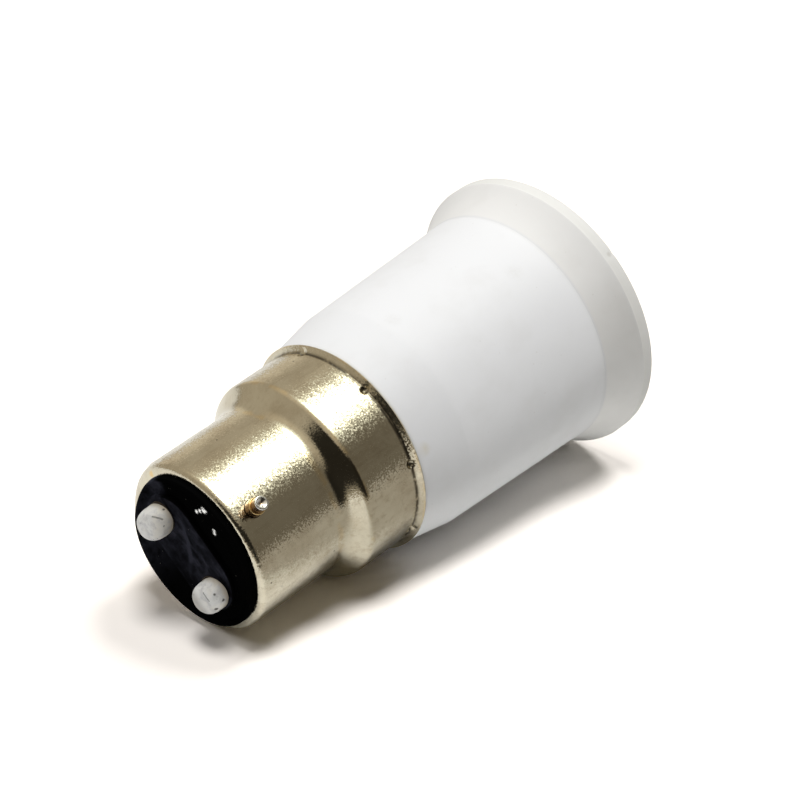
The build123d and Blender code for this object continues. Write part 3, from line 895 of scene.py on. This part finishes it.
class ADAPTER_OT_housing(bpy.types.Operator):
    """Build the white moulded housing"""

    bl_idname = "adapter.housing"
    bl_label = "Housing"
    segments = 384
    longest_run = 1.5 * MM
    flare_steps = 12
    edge = 0.25 * MM
    flare_edge = 0.1 * MM
    neck_bend = 2.5 * MM
    pocket_gap = 0.1 * MM
    pocket_columns = 24
    pocket_rows = 16
    nick_turn = radians(1.5)
    nick_width = 0.5 * MM
    nick_depth = 0.12 * MM
    nick_height = 0.6 * MM

    def execute(self, context):
        adapter = context.scene.adapter
        size = adapter.housing
        piece = lathe("housing_moulding", self.outline(size), self.segments,
                      lambda *at: self.shape(size, *at))
        holes = [Matrix.Translation((-size.rivet_orbit, 0, size.floor_low))]
        holes.append(Matrix.Translation((0, -size.rivet_orbit, size.floor_low)))
        depth = CUT_THROUGH * (size.floor_top - size.floor_low)
        combine(piece, rods(holes, size.rivet_hole_radius, depth))
        combine(piece, self.crimp_pockets(adapter.cap))
        dress(piece, white_plastic(adapter), "housing")
        return {"FINISHED"}

    def outline(self, size):
        """Outer line from the rim to the spigot, then the inner line back to the mouth."""
        edge = self.edge
        rim = rounded([
            (size.mouth_radius, 0),
            (size.rim_radius, 0, edge),
            (size.rim_radius, size.rim_height, edge),
            (size.body_foot_radius, size.flare_top),
        ])[1:-1]
        start = rim[-1]
        end = Vector((size.body_foot_radius, size.flare_top))
        across = Vector((start.y - end.y, end.x - start.x)).normalized()
        flare = []
        for step in range(1, self.flare_steps):
            share = step / self.flare_steps
            flare.append(start.lerp(end, share) + across * 4 * size.flare_sag * share * (1 - share))
        upper = rounded([
            flare[-1],
            (size.body_foot_radius, size.flare_top, self.flare_edge),
            (size.body_top_radius, size.floor_low, self.neck_bend),
            (size.neck_radius, size.neck_top, edge),
            (size.spigot_radius, size.neck_top),
            (size.spigot_radius, size.spigot_top, edge),
            (size.chamber_radius, size.spigot_top),
            (size.chamber_radius, size.floor_top, 2 * edge),
            (0, size.floor_top),
            (0, size.floor_low),
            (size.socket_radius, size.floor_low),
            (size.socket_radius, size.funnel_top, edge),
            (size.mouth_radius, 0, edge),
            (size.rim_radius, 0),
        ])[1:-1]
        return finer(rim + flare + upper, self.longest_run)

    def shape(self, size, r, turn, z):
        """Leaves the small nick that the photograph shows in the rim's edge."""
        across = remainder_turn(turn - self.nick_turn) * r / self.nick_width
        if abs(across) > 1 or z > size.rim_height or r < size.rim_radius - MM:
            return r, z
        return r - self.nick_depth * (1 - across * across) * exp(-z / self.nick_height), z

    def crimp_pockets(self, cap):
        """Cutter for the pockets behind the crimps of the cap."""
        cutter = bmesh.new()
        orbit = cap.crimp_orbit
        radius = cap.crimp_radius + cap.sheet + self.pocket_gap
        for turn in crimp_turns(cap):
            place = Matrix.Translation((orbit * cos(turn), orbit * sin(turn), cap.crimp_height))
            bmesh.ops.create_uvsphere(
                cutter, u_segments=self.pocket_columns, v_segments=self.pocket_rows,
                radius=radius, matrix=place
            )
        return finish_mesh("crimp_pockets", cutter)


def remainder_turn(turn):
    """A turn brought between minus and plus half a turn."""
    return atan2(sin(turn), cos(turn))


def pushed_in(cap, turn, z):
    """How far the curled end, and the insulator under it, are pushed in at one place."""
    depth = min(1.0, max(0.0, 1 + (z - cap.end) / cap.push_depth))
    around = remainder_turn(turn - cap.push_angle) / cap.push_spread
    return cap.push * depth * depth * exp(-around * around)


def crimp_turns(cap):
    """Directions of the crimps."""
    return [cap.crimp_angle + 2 * pi * crimp / cap.crimps for crimp in range(cap.crimps)]


class ADAPTER_OT_cap_shell(bpy.types.Operator):
    """Build the plated bayonet cap with its curled end and punched crimps"""

    bl_idname = "adapter.cap_shell"
    bl_label = "Cap shell"
    segments = 512
    crimped_run = 0.14 * MM
    plain_run = 1.2 * MM
    wave_length = 7 * MM
    wave_seed = 5.0

    def execute(self, context):
        size = context.scene.adapter.cap
        turns = crimp_turns(size)
        piece = lathe("cap_plated_shell", self.outline(size), self.segments,
                      lambda *at: self.shape(size, turns, *at))
        pin_axis = sideways(0, context.scene.adapter.pin.height)
        combine(piece, rods([pin_axis], size.pin_hole_radius, CUT_THROUGH * size.barrel_radius))
        dress(piece, nickel_plate(context.scene.adapter.finish), "cap_shell")
        return {"FINISHED"}

    def outline(self, size):
        """Outer line of the sheet from its lip to its curl, and the inner line back."""
        line = rounded([
            (size.lip_radius, size.lip_edge),
            (size.skirt_radius, size.skirt_foot, size.lip_bend),
            (size.skirt_radius, size.ridge, size.ridge_bend),
            (size.barrel_radius, size.barrel_foot, size.foot_bend),
            (size.barrel_radius, size.end, size.curl),
            (size.curl_bore, size.end),
        ])
        crimped = size.crimp_height + 2 * size.crimp_radius
        low = [point for point in line if point.y < size.skirt_foot + size.lip_bend]
        high = [point for point in line if point.y >= size.ridge - size.ridge_bend]
        seam = Vector((size.skirt_radius, crimped))
        line = finer(low + [seam], self.crimped_run)[:-1] + finer([seam] + high, self.plain_run)
        return line + offset(line, -size.sheet)[::-1]

    def shape(self, size, turns, r, turn, z):
        """Sheet that wanders a little from round, with the dents of the crimps."""
        place = Vector((r * cos(turn), r * sin(turn), z))
        radius = r + size.waviness * uneven(place, self.wave_length, self.wave_seed)
        radius -= pushed_in(size, turn, z)
        inside = r < size.skirt_radius - size.sheet / 2
        punch = size.crimp_radius + (size.sheet if inside else 0)
        for crimp in turns:
            across = hypot(remainder_turn(turn - crimp) * r, z - size.crimp_height)
            if across < punch:
                radius = min(radius, size.crimp_orbit - sqrt(punch * punch - across * across))
        return radius, z


class ADAPTER_OT_insulator(bpy.types.Operator):
    """Build the black insulator with its raised bar"""

    bl_idname = "adapter.insulator"
    bl_label = "Insulator"
    segments = 384
    foot_edge = 0.2 * MM
    foot_fillet = 0.25 * MM
    pin_gap = 0.05 * MM
    disc_steps = 24
    wall_steps = 6
    face_steps = 30

    def execute(self, context):
        adapter = context.scene.adapter
        size = adapter.insulator
        piece = self.build(size, adapter.cap)
        contact = adapter.contact
        bores = [Matrix.Translation((0, side * contact.orbit, size.bar_top)) for side in SIDES]
        combine(piece, rods(bores, contact.eyelet_hole_radius, CUT_THROUGH * (size.bar_top - size.foot)))
        pin = adapter.pin
        sockets = [sideways(side * (pin.root + pin.tip) / 2, pin.height) for side in SIDES]
        combine(piece, rods(sockets, pin.radius + self.pin_gap, pin.tip - pin.root))
        dress(piece, black_insulator(adapter), "cap_insulator")
        return {"FINISHED"}

    def bar_line(self, size, turn, inset):
        """Distance from the axis to the bar's outline in one direction, moved inwards."""
        radius = size.bar_radius - inset
        across = abs(cos(turn))
        along = abs(sin(turn))
        if across * size.bar_reach > along * radius:
            return radius / across
        return size.bar_reach * along + sqrt(radius ** 2 - (size.bar_reach * across) ** 2)

    def build(self, size, cap):
        """Turned body below, and rings that change from the disc's circle to the bar's outline above."""
        body = rounded([
            (0, size.foot),
            (size.radius, size.foot, self.foot_edge),
            (size.radius, size.shoulder, size.shoulder_round),
            (size.rim_radius, size.shoulder),
            (size.rim_radius, size.rim_top, size.rim_round),
            (0, size.rim_top),
        ])[:-1]
        disc_edge = body[-1].x
        disc_top = size.rim_top - size.dish
        rings = [lambda turn, spot=spot: (spot.x - pushed_in(cap, turn, spot.y), spot.y) for spot in body]
        foot = self.foot_fillet
        for step in range(1, self.disc_steps + 1):
            share = step / self.disc_steps
            slope = min(1.0, share / size.rim_share)
            sunk = size.rim_top - size.dish * slope * slope * (3 - 2 * slope)
            rings.append(lambda turn, share=share, sunk=sunk: (
                (disc_edge - pushed_in(cap, turn, sunk)) * (1 - share)
                + self.bar_line(size, turn, -foot) * share,
                sunk,
            ))
        wall = rounded([
            (-2 * foot, disc_top),
            (0, disc_top, foot / 2),
            (0, size.bar_top, size.bar_round / 2),
            (size.bar_radius, size.bar_top),
        ], self.wall_steps)[1:-1]
        rings += [lambda turn, spot=spot: (self.bar_line(size, turn, spot.x), spot.y) for spot in wall]
        inner = wall[-1].x
        for step in range(1, self.face_steps):
            share = 1 - step / self.face_steps
            rings.append(lambda turn, share=share: self.bar_face(size, turn, inner, share))
        return self.skin(rings, Vector((0, 0, size.foot)), Vector((0, 0, size.bar_top - size.trough_depth)))

    def bar_face(self, size, turn, inset, share):
        """Radius and height on the bar's face, which is hollowed between the contacts."""
        r = self.bar_line(size, turn, inset) * share
        along = min(1.0, abs(r * sin(turn)) / size.trough_reach)
        width = size.trough_width + size.trough_flare * along * along
        across = min(1.0, abs(r * cos(turn)) / width)
        return r, size.bar_top - size.trough_depth * (1 - across ** 4) ** 2 * (1 - along ** 4) ** 2

    def skin(self, rings, first, last):
        """Faces over rings of (r, z) for each direction, closed by a point at either end."""
        shell = bmesh.new()
        turns = [2 * pi * segment / self.segments for segment in range(self.segments)]
        loops = [[shell.verts.new(first)] * self.segments]
        for ring in rings[1:]:
            places = [(turn, *ring(turn)) for turn in turns]
            loops.append([shell.verts.new((r * cos(turn), r * sin(turn), z)) for turn, r, z in places])
        loops.append([shell.verts.new(last)] * self.segments)
        cover(shell, zip(loops, loops[1:]))
        return finish_mesh("cap_black_insulator", shell)


class ADAPTER_OT_contacts(bpy.types.Operator):
    """Build the two solder contacts"""

    bl_idname = "adapter.contacts"
    bl_label = "Solder contacts"
    segments = 96
    bead_steps = 32
    longest_run = 0.2 * MM
    lump_size = 1.6 * MM
    lump_seed = 11.0
    dent_size = 0.6 * MM
    dent_seed = 7.0
    dent_share = 0.4
    swell = 0.025
    settle = 0.7

    def execute(self, context):
        size = context.scene.adapter.contact
        material = solder_metal(context.scene.adapter.finish)
        for seed, (pole, side) in enumerate((("live", 1), ("neutral", -1)), 1):
            piece = lathe(f"{pole}_solder_tip", self.outline(size), self.segments,
                          lambda *at: self.shape(size, seed, *at))
            stretch = getattr(size, f"{pole}_length") / size.bead_width
            for vertex in piece.data.vertices:
                if vertex.co.z > size.foot:
                    vertex.co.x = vertex.co.x * stretch + getattr(size, f"{pole}_shift")
                    vertex.co.y += side * size.bead_spread + size.bead_drift
            piece.data.transform(Matrix.Translation((0, side * size.orbit, 0)))
            dress(piece, material, f"{pole}_contact")
        return {"FINISHED"}

    def outline(self, size):
        """Plug in the eyelet, and above it a bead between a ball and a button."""
        widest = size.foot + size.bead_edge
        height = size.top - widest
        power = 2 / size.squareness
        line = [
            (0, size.plug_foot),
            (size.plug_radius, size.plug_foot),
            (size.plug_radius, size.foot),
            (size.seat, size.foot),
        ]
        for step in range(self.bead_steps):
            turn = pi / 2 * step / self.bead_steps
            line.append((size.bead_width * cos(turn) ** power, widest + height * sin(turn) ** power))
        line.append((0, size.top - self.settle * size.lumps))
        return finer(rounded(line), self.longest_run)

    def shape(self, size, seed, r, turn, z):
        """Uneven solder above the eyelet, lower in places and never above the CAD tip."""
        if z <= size.foot:
            return r, z
        place = (r * cos(turn), r * sin(turn), z)
        lump = uneven(place, self.lump_size, self.lump_seed * seed)
        lump += self.dent_share * uneven(place, self.dent_size, self.dent_seed * seed)
        share = (z - size.foot) / (size.top - size.foot)
        return r * (1 + self.swell * lump), z - share * size.lumps * (self.settle + lump)


class ADAPTER_OT_pins(bpy.types.Operator):
    """Build the two bayonet pins"""

    bl_idname = "adapter.pins"
    bl_label = "Bayonet pins"
    segments = 72
    longest_run = 0.15 * MM

    def execute(self, context):
        size = context.scene.adapter.pin
        material = pin_metal(context.scene.adapter.finish)
        outline = finer(rounded([
            (0, size.root),
            (size.radius, size.root, size.edge),
            (size.radius, size.step, size.edge),
            (size.tip_radius, size.step),
            (size.tip_radius, size.tip, size.edge),
            (size.dimple_radius, size.tip, size.edge / 2),
            (0, size.tip - size.dimple_depth),
        ]), self.longest_run)
        for name, side in (("front", 1), ("rear", -1)):
            piece = lathe(f"{name}_bayonet_pin", outline, self.segments)
            piece.data.transform(sideways(0, size.height, side))
            dress(piece, material, f"{name}_pin")
        return {"FINISHED"}


class ADAPTER_OT_screw_shell(bpy.types.Operator):
    """Build the screw shell with its rolled thread and riveting tab"""

    bl_idname = "adapter.screw_shell"
    bl_label = "Screw shell"
    segments = 192
    longest_run = 0.3 * MM
    tab_steps = 40

    def execute(self, context):
        adapter = context.scene.adapter
        size = adapter.socket
        orbit = adapter.housing.rivet_orbit
        under = size.floor - size.sheet
        outside = size.groove_radius + size.sheet
        inner = rounded([(size.groove_radius, size.foot), (size.groove_radius, under)])
        ring = rounded([(size.ring_bore, under), (size.ring_bore, size.floor), (outside, size.floor)])
        outer = rounded([(outside, under), (outside, size.foot)])
        outline = finer(inner, self.longest_run) + ring + finer(outer, self.longest_run)
        piece = lathe("screw_shell_rolled", outline, self.segments, lambda *at: self.shape(size, *at))
        combine(piece, self.tab(size, orbit), "UNION")
        hole = Matrix.Translation((0, -orbit, size.floor))
        combine(piece, rods([hole], adapter.housing.rivet_hole_radius, CUT_THROUGH * size.sheet))
        finish = adapter.finish
        material = worn_metal("screw_metal", finish.nickel, finish.tarnish, roughness=0.25, grain_scale=3.0)
        dress(piece, material, "screw_shell")
        return {"FINISHED"}

    def shape(self, size, r, turn, z):
        """Right-hand rolled thread that starts and ends smoothly."""
        if r < size.groove_radius - size.sheet:
            return r, z
        end = size.floor - size.sheet
        rise = min(1.0, max(0.0, (z - size.thread_start) / size.pitch))
        fall = min(1.0, max(0.0, (end - z) / size.pitch))
        phase = 2 * pi * (z - size.thread_start) / size.pitch - turn
        wave = (1 - cos(phase)) / 2
        return r - size.depth * wave * sqrt(sin(rise * pi / 2) * sin(fall * pi / 2)), z

    def tab(self, size, orbit):
        """Round tab from the ring to the rivet, on the -Y side."""
        plate = bmesh.new()
        radius = size.tab_radius
        reach = size.ring_bore + size.sheet
        turns = [pi * step / self.tab_steps for step in range(self.tab_steps + 1)]
        rim = [(radius * cos(turn), radius * sin(turn) - orbit) for turn in turns]
        rim += [(-radius, -reach), (radius, -reach)]
        for z in (size.floor - size.sheet, size.floor):
            plate.faces.new([plate.verts.new((x, y, z)) for x, y in rim])
        bmesh.ops.bridge_loops(plate, edges=plate.edges)
        return finish_mesh("tab", plate)


class ADAPTER_OT_centre_contact(bpy.types.Operator):
    """Build the sprung centre contact, a leaf folded down from the socket floor"""

    bl_idname = "adapter.centre_contact"
    bl_label = "Centre contact"
    columns = 40
    longest_run = 0.15 * MM

    def execute(self, context):
        adapter = context.scene.adapter
        size = adapter.socket
        flat = size.floor - size.leaf_drop
        line = finer(rounded([
            (size.leaf_root, size.floor),
            (size.leaf_fold, size.floor, size.leaf_bend),
            (size.leaf_flat_start, flat, size.leaf_bend),
            (size.leaf_flat_end, flat, size.leaf_bend),
            (size.leaf_tip, flat + size.leaf_tip_rise),
        ]), self.longest_run)
        piece = self.strip(size, line)
        hole = Matrix.Translation((-adapter.housing.rivet_orbit, 0, size.floor))
        combine(piece, rods([hole], size.leaf_hole_radius, CUT_THROUGH * size.sheet))
        finish = adapter.finish
        material = worn_metal("spring_brass", finish.brass, finish.pin, roughness=0.28, grain_scale=4.0)
        piece.data.materials.append(material)
        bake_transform(piece)
        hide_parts("centre_contact")
        return {"FINISHED"}

    def strip(self, size, line):
        """Folded sheet along a line in the XZ plane, with the dome stamped into its flat."""
        plate = bmesh.new()
        faces = []
        for side in (line, offset(line, size.sheet)):
            rows = []
            for x, z in side:
                row = []
                for column in range(self.columns + 1):
                    y = size.leaf_width * (column / self.columns - 0.5)
                    across = min(1.0, hypot(x, y) / size.dome_radius)
                    row.append(plate.verts.new((x, y, z - size.dome_height * (1 - across * across))))
                rows.append(row)
            faces.append(rows)
        for rows in faces:
            for low, high in zip(rows, rows[1:]):
                for column in range(self.columns):
                    plate.faces.new((low[column], low[column + 1], high[column + 1], high[column]))
        border = [edge for edge in plate.edges if edge.is_boundary]
        bmesh.ops.bridge_loops(plate, edges=border)
        return finish_mesh("centre_contact_leaf", plate)


class ADAPTER_OT_wiring(bpy.types.Operator):
    """Finish the eyelets, rivets, tags and wires, which keep their CAD shapes"""

    bl_idname = "adapter.wiring"
    bl_label = "Wiring"

    def execute(self, context):
        finish = context.scene.adapter.finish
        eyelet = eyelet_brass(finish)
        tag = worn_metal("tag_metal", finish.nickel, finish.tarnish, roughness=0.30, grain_scale=3.0)
        bead = worn_metal("tag_solder", finish.solder, finish.cream, roughness=0.45, grain_scale=3.0)
        core = worn_metal("copper", finish.copper, finish.pin, roughness=0.25, grain_scale=6.0)
        sleeves = {
            "live": sleeve_plastic("live_sleeve", finish.live_sleeve),
            "neutral": sleeve_plastic("neutral_sleeve", finish.neutral_sleeve),
        }
        rivet = worn_metal("rivet_metal", finish.steel, finish.tarnish, roughness=0.25, grain_scale=5.0)
        paint("rivets", rivet)
        for pole, sleeve in sleeves.items():
            paint(f"{pole}_eyelet", eyelet)
            paint(f"{pole}_tag", tag)
            paint(f"{pole}_tag_solder", bead)
            paint(f"{pole}_wire_core", core)
            paint(f"{pole}_wire_sleeve", sleeve)
        return {"FINISHED"}


# Stage

class ADAPTER_OT_stage(bpy.types.Operator):
    """Set the table, the light and the camera"""

    bl_idname = "adapter.stage"
    bl_label = "Stage"
    lamps = ("side", "top", "fill")
    lamp_parts = ("size", "azimuth", "elevation", "power")
    sensor_width = 36.0
    nearest_view = 0.01

    # Where the table that the metal mirrors carries a painted shadow, in millimetres away from the camera
    # and to the right
    shadow_away = (-20, 60)
    shadow_right = (-30, -5)

    # The room that the metal mirrors: directions on the table with their heights above it, and brightness
    camera_side = (radians(-88), 0.0)
    right_side = (radians(-12), radians(10))
    far_side = (radians(108), 0.0)
    ceiling_side = (radians(20), radians(75))
    dark_height = 0.16
    room_light = 0.015
    wall_light = 0.45
    ceiling_light = 6.0
    white = (1, 1, 1, 1)

    def execute(self, context):
        adapter = context.scene.adapter
        camera = self.camera(context.scene, adapter.stage)
        axes = self.axes(adapter, camera)
        self.table(adapter, axes)
        for name in self.lamps:
            self.softbox(adapter, axes, name)
        self.world(context.scene, adapter.finish, axes)
        context.scene.view_settings.view_transform = "Standard"
        return {"FINISHED"}

    def camera(self, scene, size):
        """Camera at the photograph's viewing angle."""
        lens = bpy.data.cameras.new("camera")
        lens.lens = size.lens
        lens.sensor_width = self.sensor_width
        lens.clip_start = self.nearest_view
        camera = bpy.data.objects.new("camera", lens)
        scene.collection.objects.link(camera)
        back = Vector((cos(size.view_elevation), 0, sin(size.view_elevation)))
        aim = Vector((0, size.aim_side, size.aim_height))
        upright = back.to_track_quat("Z", "Y").to_matrix().to_4x4()
        turned = Matrix.Rotation(-size.view_roll, 4, "Z")
        camera.matrix_world = Matrix.Translation(aim + back * size.view_distance) @ upright @ turned
        scene.camera = camera
        return camera

    def axes(self, adapter, camera):
        """Right, away and up of the table that the adapter lies on."""
        tilt = atan2(adapter.housing.rim_radius - adapter.cap.barrel_radius, adapter.cap.end)
        turn = adapter.stage.table_angle
        up = -Vector((cos(turn) * cos(tilt), sin(turn) * cos(tilt), sin(tilt)))
        right = camera.matrix_world.to_3x3() @ Vector((1, 0, 0))
        right = (right - up * right.dot(up)).normalized()
        return right, up.cross(right), up

    def direction(self, axes, azimuth, elevation):
        """Direction from its angle on the table, from the right towards the back, and its height."""
        right, away, up = axes
        level = right * cos(azimuth) + away * sin(azimuth)
        return level * cos(elevation) + up * sin(elevation)

    def table(self, adapter, axes):
        """White table that touches the lying side, seen only from above."""
        right, away, up = axes
        rim = adapter.housing.rim_radius
        turn = adapter.stage.table_angle
        touch = Vector((rim * cos(turn), rim * sin(turn), 0)) - up * adapter.stage.table_gap
        half = right * adapter.stage.table_size / 2
        near = touch - away * adapter.stage.table_front
        far = touch + away * adapter.stage.table_size / 2
        corners = (near - half, near + half, far + half, far - half)
        sheet = bmesh.new()
        sheet.faces.new([sheet.verts.new(corner) for corner in corners])
        mesh = bpy.data.meshes.new("table")
        sheet.to_mesh(mesh)
        sheet.free()
        table = bpy.data.objects.new("table", mesh)
        bpy.context.scene.collection.objects.link(table)
        mesh.materials.append(self.table_finish(adapter.finish, right, away))

    def table_finish(self, finish, right, away):
        """White that the camera sees brighter, with a painted shadow beside the adapter that only the metal
        sees.
        """
        material, point = new_material("table_white")
        seen = point.node("ShaderNodeLightPath", output="Is Camera Ray")
        mirrored = point.node("ShaderNodeLightPath", output="Is Glossy Ray")
        # Painted shadow on the table beside the adapter, seen only by the metal
        mirrored_shadow = (1 - point.along(away).rise(*self.shadow_away)) * point.along(right).rise(*self.shadow_right)
        white = seen.mix(finish.table, finish.table_seen)
        white = (mirrored * mirrored_shadow).mix(white, finish.table_front)
        front = point.node("ShaderNodeBsdfPrincipled", None, {
            "Base Color": white, "Roughness": 1.0, "Specular IOR Level": 0.0,
        })
        clear = point.node("ShaderNodeBsdfTransparent")
        back = point.node("ShaderNodeNewGeometry", output="Backfacing")
        surface = point.node("ShaderNodeMixShader", None, {0: back, 1: front, 2: clear})
        point.node("ShaderNodeOutputMaterial", None, {"Surface": surface})
        return material

    def softbox(self, adapter, axes, name):
        """Round soft lamp that faces the adapter. The metal mirrors the bright ceiling instead of it."""
        size = adapter.stage
        width, azimuth, elevation, power = (getattr(size, f"{name}_{part}") for part in self.lamp_parts)
        away = self.direction(axes, azimuth, elevation) * size.lamp_distance
        lamp = bpy.data.lights.new(f"{name}_lamp", "AREA")
        lamp.shape = "DISK"
        lamp.size = width
        lamp.energy = power
        lamp.color = adapter.finish.lamp[:3]
        light = bpy.data.objects.new(f"{name}_lamp", lamp)
        bpy.context.scene.collection.objects.link(light)
        middle = Vector((0, 0, adapter.housing.neck_top))
        facing = away.to_track_quat("Z", "Y").to_matrix().to_4x4()
        light.matrix_world = Matrix.Translation(middle + away) @ facing
        light.visible_camera = False
        light.visible_glossy = False

    def world(self, scene, finish, axes):
        """White to the camera, and to the metal a room with a bright ceiling, dark behind the camera."""
        world = bpy.data.worlds.new("room")
        world.use_nodes = True
        world.node_tree.nodes.clear()
        scene.world = world
        shade = Shade(world.node_tree)
        ray = shade.node("ShaderNodeTexCoord", output="Generated")
        height = ray.along(axes[2])
        front = ray.along(self.direction(axes, *self.camera_side)).rise(0.50, 0.72)
        behind_camera = front * (1 - abs(height - self.dark_height).rise(0.30, 0.50))
        right_wall = ray.along(self.direction(axes, *self.right_side)).rise(0.3, 0.9)
        far_wall = ray.along(self.direction(axes, *self.far_side)).rise(0.9, 1.0)
        upwards = ray.along(self.direction(axes, *self.ceiling_side))
        ceiling = 0.20 * upwards.rise(0.84, 0.97) + 0.80 * upwards.rise(0.94, 0.98)
        walls = self.wall_light + 0.25 * far_wall + 0.25 * height.rise(0.6, 1.0) - 0.30 * right_wall
        walls = walls * (1 - 0.98 * behind_camera)
        mirrored = shade.node("ShaderNodeLightPath", output="Is Glossy Ray")
        level = self.room_light + (walls + self.ceiling_light * ceiling) * mirrored
        seen = shade.node("ShaderNodeLightPath", output="Is Camera Ray")
        tint = (upwards.rise(0.80, 0.93) * mirrored).mix(finish.room, finish.ceiling)
        tint = seen.mix(tint, self.white)
        strength = level + (1 - level) * seen
        glow = shade.node("ShaderNodeBackground", None, {"Color": tint, "Strength": strength})
        shade.node("ShaderNodeOutputWorld", None, {"Surface": glow})


class ADAPTER_PT_panel(bpy.types.Panel):
    """Lists the pieces of the adapter in the sidebar"""

    bl_label = "Lamp socket adapter"
    bl_space_type = "VIEW_3D"
    bl_region_type = "UI"
    bl_category = "Adapter"

    def draw(self, context):
        for operator in OPERATORS:
            self.layout.operator(operator.bl_idname)
        for name in AdapterSettings.__annotations__:
            group = getattr(context.scene.adapter, name)
            box = self.layout.box()
            box.label(text=name.capitalize())
            for entry in group.__annotations__:
                box.prop(group, entry)


OPERATORS = (
    ADAPTER_OT_stage,
    ADAPTER_OT_housing,
    ADAPTER_OT_cap_shell,
    ADAPTER_OT_insulator,
    ADAPTER_OT_contacts,
    ADAPTER_OT_pins,
    ADAPTER_OT_screw_shell,
    ADAPTER_OT_centre_contact,
    ADAPTER_OT_wiring,
)
GROUPS = (
    HousingSizes,
    CapSizes,
    InsulatorSizes,
    ContactSizes,
    PinSizes,
    SocketSizes,
    StageSizes,
    Finishes,
    AdapterSettings,
)
CLASSES = GROUPS + OPERATORS + (ADAPTER_PT_panel,)


def register():
    """Adds the classes and the adapter's settings."""
    for entry in CLASSES:
        bpy.utils.register_class(entry)
    bpy.types.Scene.adapter = PointerProperty(type=AdapterSettings)


def unregister():
    """Takes the settings and the classes away again."""
    del bpy.types.Scene.adapter
    for entry in reversed(CLASSES):
        bpy.utils.unregister_class(entry)


def main():
    """Builds every piece in order."""
    register()
    bpy.ops.adapter.stage()
    bpy.ops.adapter.housing()
    bpy.ops.adapter.cap_shell()
    bpy.ops.adapter.insulator()
    bpy.ops.adapter.contacts()
    bpy.ops.adapter.pins()
    bpy.ops.adapter.screw_shell()
    bpy.ops.adapter.centre_contact()
    bpy.ops.adapter.wiring()


if __name__ == "__main__":
    main()
